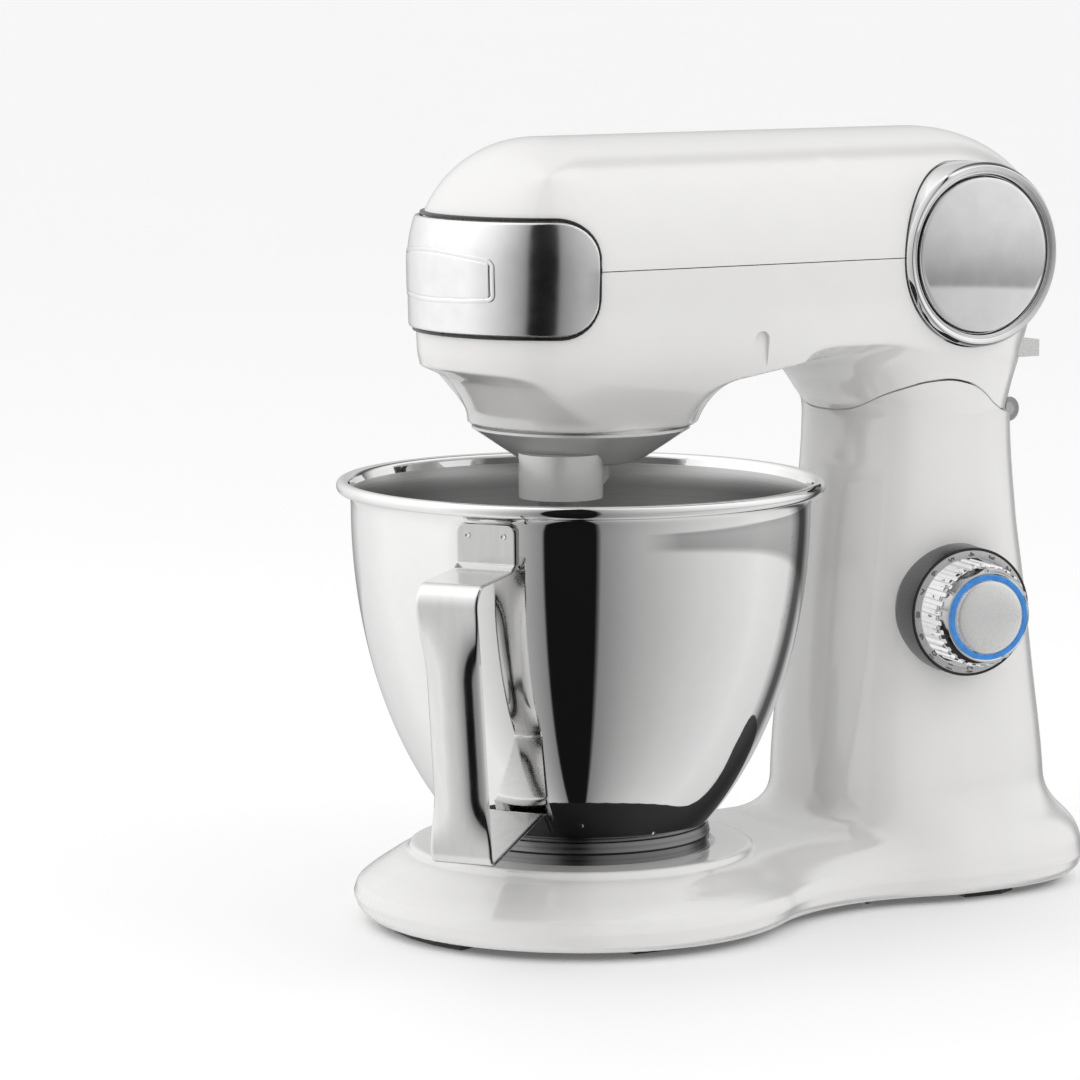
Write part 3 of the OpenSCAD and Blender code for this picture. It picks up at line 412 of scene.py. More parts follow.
def rounded(corners, steps=6):
    """A closed outline from (u, v, radius) corners, each corner with a radius turned into an arc."""
    out = []
    n = len(corners)
    for i in range(n):
        p = Vector(corners[i][:2])
        r = corners[i][2] if len(corners[i]) > 2 else 0
        if r <= 0:
            out.append(tuple(p))
            continue
        a = (Vector(corners[i - 1][:2]) - p).normalized()
        b = (Vector(corners[(i + 1) % n][:2]) - p).normalized()
        half = math.acos(max(-1, min(1, a.dot(b)))) / 2
        reach = r / math.tan(half)
        centre = p + (a + b).normalized() * (r / math.sin(half))
        s, e = p + a * reach - centre, p + b * reach - centre
        turn = s.angle_signed(e)
        for k in range(steps + 1):
            c = s.copy()
            c.rotate(Matrix.Rotation(-turn * k / steps, 2))
            out.append(tuple(centre + c))
    return out


def revolve(name, profile, n=160, matrix=None, sharp=35):
    """A closed (r, h) outline turned about Z. Points on the axis become poles."""
    points, rings = [], []
    for r, h in profile:
        if r < 1e-6:
            rings.append([len(points)])
            points.append((0.0, 0.0, h))
        else:
            rings.append(list(range(len(points), len(points) + n)))
            points += [(r * math.cos(2 * math.pi * i / n), r * math.sin(2 * math.pi * i / n), h)
                       for i in range(n)]
    faces = []
    for a, b in zip(rings, rings[1:] + rings[:1]):
        if len(a) == 1 and len(b) == 1:
            continue
        for i in range(n):
            j = (i + 1) % n
            loop = [a[i % len(a)], a[j % len(a)], b[j % len(b)], b[i % len(b)]]
            faces.append(list(dict.fromkeys(loop)))
    piece = make_mesh(name, points, faces)
    tidy_mesh(piece, matrix)
    smooth_by_angle(piece, sharp)
    return piece


def along(start, end):
    """Places a shape made about Z so that its axis runs from start to end, in mm."""
    a, b = Vector(start) * MM, Vector(end) * MM
    turn = (b - a).to_track_quat("Z", "Y").to_matrix().to_4x4()
    return Matrix.Translation(a) @ turn


def strip_points(path, steps=8):
    """A polyline of (u, v, bend radius) with its inner corners rounded, as (u, v) points."""
    out = [path[0][:2]]
    for a, b, c in zip(path, path[1:], path[2:]):
        out += rounded([(*a[:2], 0), b, (*c[:2], 0)], steps)[1:-1]
    out.append(path[-1][:2])
    return out


# ------------------------------------------------------------------ materials

def new_material(name, colour, metallic=0.0, roughness=0.4):
    m = bpy.data.materials.new(name)
    m.use_nodes = True
    shader = m.node_tree.nodes["Principled BSDF"]
    shader.inputs["Base Color"].default_value = (*colour, 1)
    shader.inputs["Metallic"].default_value = metallic
    shader.inputs["Roughness"].default_value = roughness
    return m, shader


def add(m, kind, **values):
    node = m.node_tree.nodes.new(kind)
    for key, value in values.items():
        if hasattr(node, key):
            setattr(node, key, value)
        else:
            node.inputs[key].default_value = value
    return node


def link(m, a, b):
    m.node_tree.links.new(a, b)


def noise(m, scale, stretch=(1, 1, 1), rings=False):
    """Noise in the piece's own coordinates, in metres. With rings it runs in circles about Z."""
    coords = add(m, "ShaderNodeTexCoord")
    source = coords.outputs["Object"]
    if rings:
        parts = add(m, "ShaderNodeSeparateXYZ")
        link(m, source, parts.inputs[0])
        total = add(m, "ShaderNodeMath", operation="ADD")
        for i in (0, 1):
            square = add(m, "ShaderNodeMath", operation="POWER")
            square.inputs[1].default_value = 2
            link(m, parts.outputs[i], square.inputs[0])
            link(m, square.outputs[0], total.inputs[i])
        root = add(m, "ShaderNodeMath", operation="SQRT")
        link(m, total.outputs[0], root.inputs[0])
        join = add(m, "ShaderNodeCombineXYZ")
        link(m, root.outputs[0], join.inputs[0])
        link(m, parts.outputs[2], join.inputs[1])
        source = join.outputs[0]
    mapping = add(m, "ShaderNodeMapping")
    mapping.inputs["Scale"].default_value = stretch
    link(m, source, mapping.inputs["Vector"])
    texture = add(m, "ShaderNodeTexNoise")
    texture.inputs["Scale"].default_value = scale
    texture.inputs["Detail"].default_value = 3.0
    link(m, mapping.outputs["Vector"], texture.inputs["Vector"])
    return texture.outputs["Fac"]


def between(m, factor, low, high):
    ramp = add(m, "ShaderNodeMapRange")
    ramp.inputs["From Min"].default_value = 0.3
    ramp.inputs["From Max"].default_value = 0.7
    ramp.inputs["To Min"].default_value = low
    ramp.inputs["To Max"].default_value = high
    link(m, factor, ramp.inputs["Value"])
    return ramp.outputs["Result"]


def colours(m, factor, low, high):
    ramp = add(m, "ShaderNodeValToRGB")
    ramp.color_ramp.elements[0].position = 0.3
    ramp.color_ramp.elements[1].position = 0.7
    ramp.color_ramp.elements[0].color = (*low, 1)
    ramp.color_ramp.elements[1].color = (*high, 1)
    link(m, factor, ramp.inputs["Fac"])
    return ramp.outputs["Color"]


def bump(m, shader, factor, height, strength=1.0):
    """Relief of that height in metres."""
    node = add(m, "ShaderNodeBump")
    node.inputs["Strength"].default_value = strength
    node.inputs["Distance"].default_value = height
    link(m, factor, node.inputs["Height"])
    link(m, node.outputs["Normal"], shader.inputs["Normal"])


def finish_of(name, low, high, metallic, rough, scale, stretch=(1, 1, 1), relief=0.0, coat=0.0, rings=False):
    """A material whose colour, roughness and relief (in metres) vary with one noise."""
    m, shader = new_material(name, high, metallic, rough[0])
    factor = noise(m, scale, stretch, rings)
    link(m, colours(m, factor, low, high), shader.inputs["Base Color"])
    link(m, between(m, factor, *rough), shader.inputs["Roughness"])
    if relief:
        bump(m, shader, factor, relief)
    if coat:
        shader.inputs["Coat Weight"].default_value = coat
        shader.inputs["Coat Roughness"].default_value = 0.03
    return m


# Each finish: darkest and lightest colour, metallic, roughness range, noise scale
enamel = finish_of("enamel", (0.825, 0.818, 0.808), (0.84, 0.833, 0.823), 0, (0.12, 0.17), 60,
                   relief=0.0000012, coat=1.0)
chrome = finish_of("chrome", (0.74, 0.74, 0.745), (0.80, 0.80, 0.80), 1, (0.035, 0.075), 90)
band_chrome = finish_of("band_chrome", (0.76, 0.76, 0.76), (0.82, 0.82, 0.82), 1, (0.13, 0.17), 90)
bowl_mirror = finish_of("bowl_mirror", (0.775, 0.772, 0.768), (0.79, 0.787, 0.783), 1, (0.03, 0.042), 120)
bowl_brushed = finish_of("bowl_brushed", (0.49, 0.49, 0.49), (0.58, 0.575, 0.57), 1, (0.27, 0.35), 1400,
                         relief=0.000004, rings=True)
strip_steel = finish_of("strip_steel", (0.68, 0.68, 0.675), (0.73, 0.727, 0.722), 1, (0.12, 0.17), 300,
                        (1, 1, 0.2))
dark_metal = finish_of("dark_metal", (0.16, 0.16, 0.165), (0.26, 0.26, 0.265), 1, (0.22, 0.36), 700,
                       relief=0.000006, rings=True)
steel = finish_of("steel", (0.58, 0.58, 0.585), (0.65, 0.65, 0.65), 1, (0.2, 0.27), 400)
cast_alloy = finish_of("cast_alloy", (0.34, 0.345, 0.35), (0.46, 0.46, 0.465), 0.9, (0.42, 0.6), 900,
                       relief=0.00006)
rubber = finish_of("rubber", (0.012, 0.012, 0.012), (0.024, 0.024, 0.025), 0, (0.55, 0.75), 1200,
                   relief=0.00003)
# This black finish is the nose band's real rubber gasket, and also the painted shade in the gaps round the
# side discs and the dial.
gasket_and_shade_black = finish_of("gasket_and_shade_black", (0.008, 0.008, 0.009), (0.016, 0.016, 0.016), 0, (0.18, 0.3), 800,
                         relief=0.00001)
black_plastic = finish_of("black_plastic", (0.014, 0.014, 0.015), (0.028, 0.028, 0.03), 0, (0.35, 0.5), 1500,
                          relief=0.00002)
brass = finish_of("brass", (0.55, 0.38, 0.14), (0.72, 0.52, 0.22), 1, (0.25, 0.4), 500, relief=0.000008)
copper = finish_of("copper", (0.50, 0.22, 0.09), (0.72, 0.34, 0.15), 1, (0.25, 0.4), 1500, (1, 0.1, 1),
                   relief=0.00004)
nylon = finish_of("nylon", (0.68, 0.66, 0.58), (0.76, 0.74, 0.66), 0, (0.4, 0.55), 700, relief=0.00001)
silver_paint = finish_of("silver_paint", (0.70, 0.70, 0.695), (0.72, 0.718, 0.712), 0.5, (0.26, 0.29), 500,
                         coat=0.4)
carrier_paint = finish_of("carrier_paint", (0.74, 0.737, 0.732), (0.76, 0.757, 0.752), 0.3, (0.22, 0.26), 400,
                          coat=0.5)
skirt_metal = finish_of("skirt_metal", (0.56, 0.56, 0.56), (0.60, 0.60, 0.60), 0.8, (0.24, 0.28), 400)
knob_chrome = finish_of("knob_chrome", (0.68, 0.68, 0.685), (0.74, 0.74, 0.74), 1, (0.08, 0.12), 300)
board = finish_of("board", (0.015, 0.09, 0.035), (0.03, 0.16, 0.06), 0, (0.3, 0.5), 400,
                  relief=0.00002, coat=0.3)
ink = finish_of("ink", (0.10, 0.10, 0.105), (0.15, 0.15, 0.155), 0, (0.4, 0.5), 900)


def glowing_blue():
    m, shader = new_material("blue_light", (0.03, 0.20, 0.55), 0, 0.25)
    tint = colours(m, noise(m, 300), (0.02, 0.17, 0.50), (0.04, 0.24, 0.62))
    link(m, tint, shader.inputs["Base Color"])
    shader.inputs["Emission Color"].default_value = (0.03, 0.20, 0.56, 1)
    shader.inputs["Emission Strength"].default_value = 0.22
    return m


blue_light = glowing_blue()


def paint(piece, m):
    piece.data.materials.clear()
    piece.data.materials.append(m)
    return piece


def fit(piece, m, slot_name, body, *nodes):
    paint(piece, m)
    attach(piece, body)
    if nodes:
        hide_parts(*nodes)
    return piece


# ------------------------------------------------------------------ white shells

def wave_prism(shift, above):
    line = [(90, 225), (130, 226), (137, 230), (141, 235.7), (150, 240.4), (160, 243.2), (169, 243.8),
            (183, 241.3), (192.5, 236.5), (200, 230.8), (210, 226.5), (228, 224), (262, 223.5)]
    ys = np.linspace(90, 262, 130)
    fine = [(float(y), float(table(y, line)) + shift) for y in ys]
    corners = [(262, 420), (90, 420)] if above else [(262, -20), (90, -20)]
    outline = fine + corners if above else fine[::-1] + corners[::-1]
    return prism_x(outline, -90, 90)


def shell_pair(field, low, high, step):
    outer = from_field("outer", field, low, high, step)
    inner = from_field("inner", lambda x, y, z: field(x, y, z) + WALL, low, high, step * 1.7, 1)
    return outer, inner


def inset_outline(e):
    d = np.roll(OUTLINE, -1, 0) - np.roll(OUTLINE, 1, 0)
    d /= np.linalg.norm(d, axis=1, keepdims=True)
    return OUTLINE - e * np.stack([d[:, 1], -d[:, 0]], 1)


def prism_z(outline, z0, z1):
    return prism([(x, y, z) for z in (z0, z1) for x, y in outline])


def pockets(piece):
    for side in (1, -1):
        a, b = sorted((42 * side, 75 * side))
        cut(piece, round_bar("X", (DISC_Y, DISC_Z), DISC_R + 0.6, a, b, 160))
    return piece


def relief_for_hinge(piece):
    return cut(piece, round_bar("X", (HINGE_Y, HINGE_Z), HINGE_R, -60, 60, 64))


head_outer, head_inner = shell_pair(head_field, (-64, -80, 213), (64, 250, 361), 1.5)
head_shell = cut(head_outer, head_inner)
cover = copy_of(head_shell, "head_cover")
cut(cover, block(-90, 90, -100, 280, 200, SEAM_Z + 0.2))
pockets(cover)
cut(cover, round_bar("Y", (SOCKET_Z, 0), SOCKET_R, -90, -50))
true_normals(cover, head_field)
fit(cover, enamel, "enamel", "head", "head_top_cover")

casing = head_shell
casing.name = casing.data.name = "head_lower"
cut(casing, block(-90, 90, -100, 280, SEAM_Z - 0.2, 400))
cut(casing, wave_prism(0.5, False))
pockets(casing)
relief_for_hinge(casing)
cut(casing, block(-15, 15, 222, 250, 243, 261))
cut(casing, round_bar("Y", (SOCKET_Z, 0), SOCKET_R, -90, -50))
for side in (1, -1):
    slot_cutter = prism_x(rounded([(56, 240, 0), (64, 240, 0), (64, 272, 3.99), (56, 272, 3.99)], 10),
                          *sorted((55.7 * side, 80 * side)))
    cut(casing, slot_cutter)
true_normals(casing, head_field)
fit(casing, enamel, "enamel", "head", "head_casing")

stand_outer, stand_inner = shell_pair(stand_field, (-107, -107, 2), (107, 268, 254), 1.6)
shelf = cut(copy_of(stand_outer, "shelf"), block(-60, 60, 182, 240, 190, 196), "INTERSECT")
seat = round_bar("Z", (0, 0), 68, 25, 31, 128)
stand = cut(stand_outer, stand_inner)
stand.name = stand.data.name = "base_and_column"
cut(stand, seat, "UNION")
cut(stand, shelf, "UNION")
cut(stand, round_bar("Z", (0, 0), 62, 28, 60, 160))
cut(stand, prism_z(inset_outline(11.5), -1, 8))
cut(stand, wave_prism(-0.5, True))
relief_for_hinge(stand)
cut(stand, block(-24.6, 24.6, 208, 240, 214, 232))
DIAL = Matrix.Translation(Vector((65, 172.7, 136.7)) * MM) @ Matrix.Rotation(math.radians(-10), 4, "Z") \
    @ Matrix.Rotation(math.radians(90), 4, "Y")
dial_hole = round_bar("Z", (0, 0), 30.2, -19, 11, 128)
dial_hole.data.transform(DIAL)
cut(stand, dial_hole)
cut(stand, round_bar("Y", (17, -32), 11, 230, 249, 48))
cut(stand, round_bar("Y", (17, -32), 8.1, 235, 270, 48))
true_normals(stand, stand_field)
fit(stand, enamel, "enamel", "stand", "base_casting")
stand.visible_glossy = False


# white sleeves over the hinge barrels
for a, b, body in ((-13.3, 13.3, "head"), (13.9, 24.3, "stand"), (-24.3, -13.9, "stand")):
    length = b - a
    sleeve = rounded([(5.65, 0, 0), (6.05, 0, 0.2), (6.05, length, 0.2), (5.65, length, 0)], 3)
    place = along((a, HINGE_Y, HINGE_Z), (b, HINGE_Y, HINGE_Z))
    fit(revolve("hinge_sleeve_" + str(round(a + 30)), sleeve, 64, place), enamel, "enamel", body)


# ------------------------------------------------------------------ chrome band on the nose

def rounded_rect(u, v, half_u, half_v, r):
    qu, qv = np.abs(u) - half_u + r, np.abs(v) - half_v + r
    return np.hypot(np.maximum(qu, 0), np.maximum(qv, 0)) + np.minimum(np.maximum(qu, qv), 0) - r


def both(a, b, r):
    """Where two fields meet, with an edge of radius r."""
    return np.hypot(np.maximum(a + r, 0), np.maximum(b + r, 0)) + np.minimum(np.maximum(a, b) + r, 0) - r


def layer(x, y, z, low, high):
    return np.abs(head_wall(x, y, z) - (low + high) / 2) - (high - low) / 2


def band_side(y, z, grow):
    return rounded_rect(y + 114.5, z - 299, 85.5 + grow, 25 + grow, 16 + grow)


def band_field(x, y, z):
    return both(band_side(y, z, 0) + 0 * x, layer(x, y, z, 0.7, 3.4), 1.1)


def gasket_field(x, y, z):
    q = band_side(y, z, 0) + 0 * x
    return both(np.abs(q - 1.1) - 0.75, layer(x, y, z, -0.6, 1.7), 0.4)


def plate_field(x, y, z):
    bend = (x / 38.0) ** 2
    q = rounded_rect(x + 0 * y, z - 299.4 + 1.2 * bend, 38.5, 12.0 - 2.6 * bend, 3.4)
    face = 3.8 - 0.4 * np.clip(1.0 - np.abs(q + 2.0) / 0.5, 0, 1)
    w = head_wall(x, y, z)
    return both(q, np.maximum(w - face, 2.6 - w), 0.3)


band = from_field("nose_band", band_field, (-66, -84, 272), (66, -27, 326), 0.9)
true_normals(band, band_field)
fit(band, band_chrome, "chrome", "cover", "outlet_cover")
plate = from_field("nose_plate", plate_field, (-41, -84, 285), (41, -46, 314), 0.5)
true_normals(plate, plate_field)
fit(plate, band_chrome, "chrome", "cover")
gasket = from_field("nose_gasket", gasket_field, (-66, -84, 270), (66, -25, 328), 0.7)
true_normals(gasket, gasket_field)
fit(gasket, gasket_and_shade_black, "rubber", "head", "band_gasket")


# ------------------------------------------------------------------ side discs

ring_profile = rounded([(36.4, 2, 0), (42.6, 2, 0), (42.6, 18.6, 0.5), (40.9, 21.2, 0.7), (38.7, 20.2, 0.5),
                        (38.5, 18.9, 0.2), (37.3, 19.6, 0.4), (36.9, 17.4, 0.3), (36.4, 17.0, 0)], 5)
disc_profile = [(0.0, 12.0), (35.6, 12.0), (35.8, 12.2), (35.8, 19.3), (35.5, 19.9)] + \
    [(35 * (1 - k / 24), 20.2 + 2.9 * (1 - (1 - k / 24) ** 2)) for k in range(25)]
gap_profile = [(34, 13), (37.0, 13), (37.0, 15.6), (34, 15.6)]
rings, discs = [], []
for side, side_name in ((1, "right"), (-1, "left")):
    place = along((42 * side, DISC_Y, DISC_Z), (60 * side, DISC_Y, DISC_Z))
    ring = revolve("disc_ring_" + side_name, ring_profile, matrix=place)
    rings.append(fit(ring, chrome, "chrome", "head"))
    disc = revolve("disc_" + side_name, disc_profile, matrix=place, sharp=25)
    discs.append(fit(disc, chrome, "chrome", "head"))
    # Painted shade: a black ring down in the narrow gap between each disc and its ring, standing in for the
    # shade in that gap.
    fit(revolve("disc_gap_" + side_name, gap_profile, matrix=place), gasket_and_shade_black, "rubber", "head")
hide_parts("side_disc_rings")
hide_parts("side_discs")


# ------------------------------------------------------------------ speed dial

def toothed(name, levels, teeth, matrix):
    """A closed wall with rounded teeth: levels are (radius, height, tooth depth)."""
    n = teeth * 14
    angles = 2 * np.pi * np.arange(n) / n
    wave_form = smooth(0.5 + 1.5 * np.cos(teeth * angles))
    points = [(float((r - d * (1 - w)) * math.cos(a)), float((r - d * (1 - w)) * math.sin(a)), h)
              for r, h, d in levels for a, w in zip(angles, wave_form)]
    faces = []
    m = len(levels)
    for i in range(m):
        for j in range(n):
            k = (j + 1) % n
            faces.append((i * n + j, i * n + k, (i + 1) % m * n + k, (i + 1) % m * n + j))
    piece = make_mesh(name, points, faces)
    tidy_mesh(piece, matrix)
    smooth_by_angle(piece, 30)
    return piece


bezel_profile = rounded([(25.2, -16, 0), (28.9, -16, 0), (28.9, -0.5, 0.4), (25.2, 0.0, 0.5)], 4)
fit(revolve("dial_skirt", bezel_profile, matrix=DIAL), skirt_metal, "chrome", "stand", "dial_bezel")
# Painted shade: a black ring filling the gap between the dial skirt and the hole in the stand, standing in
# for the shade in that gap.
dial_gap_profile = rounded([(28.7, -17.5, 0), (30, -17.5, 0), (30, -0.2, 0.5), (28.7, -0.2, 0.2)], 4)
fit(revolve("dial_gap", dial_gap_profile, matrix=DIAL), gasket_and_shade_black, "rubber", "stand")
fit(revolve("dial_well", [(3.4, -18), (29, -18), (29, -16), (3.4, -16)], matrix=DIAL),
    black_plastic, "black_plastic", "stand")
for number in range(1, 13):
    curve = bpy.data.curves.new(f"numeral_{number}", "FONT")
    curve.body = str(number)
    curve.size = 0.0040
    curve.extrude = 0.00006
    curve.offset = 0.00007
    curve.align_x, curve.align_y = "CENTER", "CENTER"
    text = bpy.data.objects.new(f"numeral_{number}", curve)
    bpy.context.scene.collection.objects.link(text)
    turn = math.radians(180 + (number - 8) * 22.5)
    local = Matrix.Rotation(math.radians(90) + turn, 4, "Z") @ Matrix.Translation((0.02705, 0, 0.00002)) \
        @ Matrix.Rotation(math.radians(180), 4, "Z")
    bpy.context.view_layer.update()
    mesh = bpy.data.meshes.new_from_object(text.evaluated_get(bpy.context.evaluated_depsgraph_get()))
    bpy.data.objects.remove(text)
    mesh.transform(DIAL @ local)
    mesh.name = f"numeral_{number}"
    piece = bpy.data.objects.new(f"numeral_{number}", mesh)
    bpy.context.scene.collection.objects.link(piece)
    fit(piece, ink, "rubber", "stand")

knob_levels = [(20.0, 14.0, 0), (20.0, 17.6, 0), (20.3, 18.0, 0), (20.9, 17.9, 0), (22.2, 15.2, 0),
               (22.6, 13.4, 0), (23.0, 12.6, 0.5), (24.0, 11.9, 1.5), (24.0, 3.0, 1.5), (24.0, -9.0, 1.5),
               (20.0, -9.0, 0)]
fit(toothed("dial_knob", knob_levels, 32, DIAL), knob_chrome, "chrome", "dial", "speed_dial")
floor_profile = [(3, -29.5), (3, 14.6), (20.2, 14.6), (20.2, 12.6), (0, 12.6), (0, -29.5)]
fit(revolve("dial_floor", floor_profile, matrix=DIAL), black_plastic, "black_plastic", "dial")
light_profile = rounded([(17.35, 14.2, 0), (19.75, 14.2, 0), (19.75, 18.9, 0.5), (17.35, 18.9, 0.5)], 5)
fit(revolve("dial_light", light_profile, matrix=DIAL), blue_light, "blue_light", "dial", "dial_light_ring")
cap_profile = [(0, 14.2), (17.0, 14.2), (17.0, 18.4), (16.8, 19.0), (16.2, 19.5), (15, 19.95), (12.5, 20.5),
               (9, 20.95), (5, 21.2), (0, 21.3)]
cap = revolve("dial_button", cap_profile, matrix=DIAL, sharp=50)
fit(cap, silver_paint, "silver_paint", "dial", "dial_cap")
mark_levels = [(0.55, -0.1, 0), (0.55, 0.12, 0), (0.4, 0.2, 0), (0.05, 0.2, 0), (0.05, -0.1, 0)]
mark_place = DIAL @ Matrix.Translation((-0.0214, 0, 0.0168)) @ Matrix.Rotation(math.radians(-62), 4, "Y")
fit(toothed("dial_mark", mark_levels, 3, mark_place), ink, "rubber", "dial")


# ------------------------------------------------------------------ bowl

BOWL_R, BOWL_WIDEST_Z, BOWL_DEPTH, BOWL_FLOOR_Z = 104.6, 192, 175, 37.2


def bowl_radius(z):
    return BOWL_R * math.sqrt(1 - ((BOWL_WIDEST_Z - z) / BOWL_DEPTH) ** 2)


def wall_slope(z):
    return bowl_radius(z + 0.5) - bowl_radius(z - 0.5)


heights = [BOWL_FLOOR_Z + (BOWL_WIDEST_Z - BOWL_FLOOR_Z) * (k / 72) ** 1.6 for k in range(73)]
outer_wall = [(bowl_radius(z), z) for z in heights]
slopes = [wall_slope(z) for z in heights]
inner_wall = [(bowl_radius(z) - 1 / math.hypot(1, k), z + k / math.hypot(1, k))
              for z, k in zip(heights, slopes)]
bead = [(108.2 + 3 * math.cos(math.radians(a)), 200.6 + 3 * math.sin(math.radians(a)))
        for a in range(-120, 181, 12)]
profile = [(0, 34.2), (20, 34.2), (38, 34.3), (42, 34.7), (45, 35.6)] + outer_wall[1:] + \
    [(104.9, 195.2), (105.5, 197.0)] + bead + [(104.5, 198.6), (104.0, 195.2)] + inner_wall[:0:-1] + \
    [(44.6, 36.6), (41.8, 35.7), (38, 35.3), (20, 35.2), (0, 35.2)]
bowl = revolve("mixing_bowl", profile, 256, sharp=60)
bowl.data.materials.append(bowl_mirror)
bowl.data.materials.append(bowl_brushed)
for face in bowl.data.polygons:
    out = face.center.x * face.normal.x + face.center.y * face.normal.y
    z = face.center.z * 1000
    inside = (z < 198.5 and out < 0 and z > 36) or (z < 36.9 and face.normal.z > 0.5)
    face.material_index = 1 if inside else 0
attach(bowl, "bowl")
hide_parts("bowl")

foot_profile = rounded([(55, 30.6, 0.3), (59.1, 30.6, 0.6), (59.6, 34.4, 0.8), (58.6, 35.6, 0.6),
                        (58.6, 40.2, 0.6), (59.4, 41.4, 0.5), (58.4, 45.8, 0.5), (57.6, 45.6, 0.3),
                        (55, 38, 0.5)], 4)
fit(revolve("bowl_foot", foot_profile), dark_metal, "dark_steel", "bowl", "bowl_foot_ring")

HANDLE = Matrix(((0.573576, 0, -0.819152, 0), (-0.819152, 0, -0.573576, 0), (0, 1, 0, 0), (0, 0, 0, 1)))
bends = [(104.9, 194.5, 0), (104.4, 176.5, 2.0), (109, 173.6, 4), (141.5, 171.6, 5), (146.6, 166, 7),
         (131.2, 53.0, 3), (129.4, 49.6, 1.6), (126, 50.4, 3), (75.6, 62.4, 1.6), (72.4, 62.0, 1.4),
         (66.0, 54.2, 0)]
line = np.array(strip_points(bends, 6))
run = np.concatenate([[0], np.cumsum(np.linalg.norm(np.diff(line, axis=0), axis=1))])
places = np.unique(np.concatenate([run, np.linspace(0, run[-1], 260)]))
places = places[np.concatenate([[True], np.diff(places) > 0.15])]
line = np.stack([np.interp(places, run, line[:, i]) for i in (0, 1)], 1)


def handle_width(s):
    """Width along the strip: round corners at its top end. The waist in the grip comes from the curl, in
    make_handle.
    """
    start = 3.5 - math.sqrt(max(0.0, 3.5 ** 2 - max(0.0, 3.5 - s) ** 2))
    return 29 - 2 * start


def handle_curl(s):
    """How far the grip's edges curl back: none at the folds."""
    top, low = (s - 66) / 34, (176 - s) / 26
    return float(smooth(top) * smooth(low))


def make_handle():
    d = np.gradient(line, axis=0)
    d /= np.linalg.norm(d, axis=1, keepdims=True)
    out = np.stack([-d[:, 1], d[:, 0]], 1)
    across = np.concatenate([np.linspace(-1, -0.9, 3), np.linspace(-0.86, 0.86, 17), np.linspace(0.9, 1, 3)])
    points = []
    for q, o, s in zip(line, out, places):
        curl = handle_curl(s)
        half = handle_width(s) / 2 - 1.6 * curl
        for face in (1, -1):
            for t in across[::face]:
                lip = 0.7 * (1 - max(0.0, (abs(t) - 0.93) / 0.07) ** 2 * 0.55)
                sunk = -4.2 * curl * abs(t) ** 2.6 + 0.5 * curl
                v = 0.7 + sunk + face * lip
                points.append((q[0] + o[0] * v, q[1] + o[1] * v, t * half))
    m = 2 * len(across)
    faces = [tuple(range(m)), tuple(range(len(points) - 1, len(points) - m - 1, -1))]
    faces += [(i * m + j, (i + 1) * m + j, (i + 1) * m + (j + 1) % m, i * m + (j + 1) % m)
              for i in range(len(line) - 1) for j in range(m)]
    piece = make_mesh("handle", points, faces)
    tidy_mesh(piece, HANDLE)
    smooth_by_angle(piece, 40)
    return piece


fit(make_handle(), strip_steel, "bowl_steel", "bowl", "bowl_handle")
spot_profile = [(0, -0.6), (1.35, -0.6), (1.35, 0.05), (1.15, 0.2), (0.85, 0.16), (0.6, 0.05), (0, 0.0)]
spot_places = [(106.4, 189.5, -8.5, 0), (106.3, 189.5, 8.5, 0), (70.6, 56.9, 0, -38)]
for number, (u, v, w, lean) in enumerate(spot_places):
    place = HANDLE @ Matrix.Translation(Vector((u, v, w)) * MM) \
        @ Matrix.Rotation(math.radians(lean), 4, "Z") @ Matrix.Rotation(math.radians(90), 4, "Y")
    fit(revolve(f"weld_{number}", spot_profile, 32, place), strip_steel, "bowl_steel", "bowl")


# ------------------------------------------------------------------ release lever

def lever_field(x, y, z):
    half = 12.9 - 0.6 * np.clip((y - 236) / 14, 0, 1)
    q = rounded_rect(x + 0 * y, y - 241.8 + 0 * x, 12.9, 8.1, 2.6)
    thick = 3.9 - 0.5 * np.clip((y - 238) / 12, 0, 1)
    dish = 0.8 * np.exp(-((x / 8.0) ** 2 + ((y - 243) / 4.0) ** 2))
    w = np.abs(z - 252) - thick + np.where(z > 252, dish, 0)
    return both(q, w, 1.4)


paddle = from_field("lever_paddle", lever_field, (-14.5, 232, 246), (14.5, 251.5, 258), 0.6)
true_normals(paddle, lever_field)
fit(paddle, silver_paint, "silver_paint", "latch")


# ------------------------------------------------------------------ finishes of the carried-over nodes

slots = {"enamel": enamel, "chrome": chrome, "bowl_steel": strip_steel, "dark_steel": dark_metal,
         "steel": steel, "cast_alloy": cast_alloy, "rubber": rubber, "black_plastic": black_plastic,
         "brass": brass, "copper": copper, "nylon": nylon, "silver_paint": silver_paint,
         "blue_light": blue_light, "board": board}
slot_of = {part["node"]: part["material_slot"] for part in frame["record"]["subparts"]}
special = {"planet_carrier": carrier_paint, "base_plate_screws": dark_metal}
for node_name, node in frame["nodes"].items():
    finish = special.get(node_name, slots[slot_of[node_name]])
    for material_slot in node.material_slots:
        material_slot.link = "OBJECT"
        material_slot.material = finish


# ------------------------------------------------------------------ camera, light and floor

camera_data = bpy.data.cameras.new("camera")
camera = bpy.data.objects.new("camera", camera_data)
bpy.context.scene.collection.objects.link(camera)
camera.location = (1.8735, -1.1707, 0.4653)
camera.rotation_euler = (math.radians(90 - 7.44), 0, math.radians(58.48))
camera_data.sensor_width = 36
camera_data.lens = 163.1
camera_data.shift_y = -4 / 1080
camera_data.clip_end = 400
bpy.context.scene.camera = camera

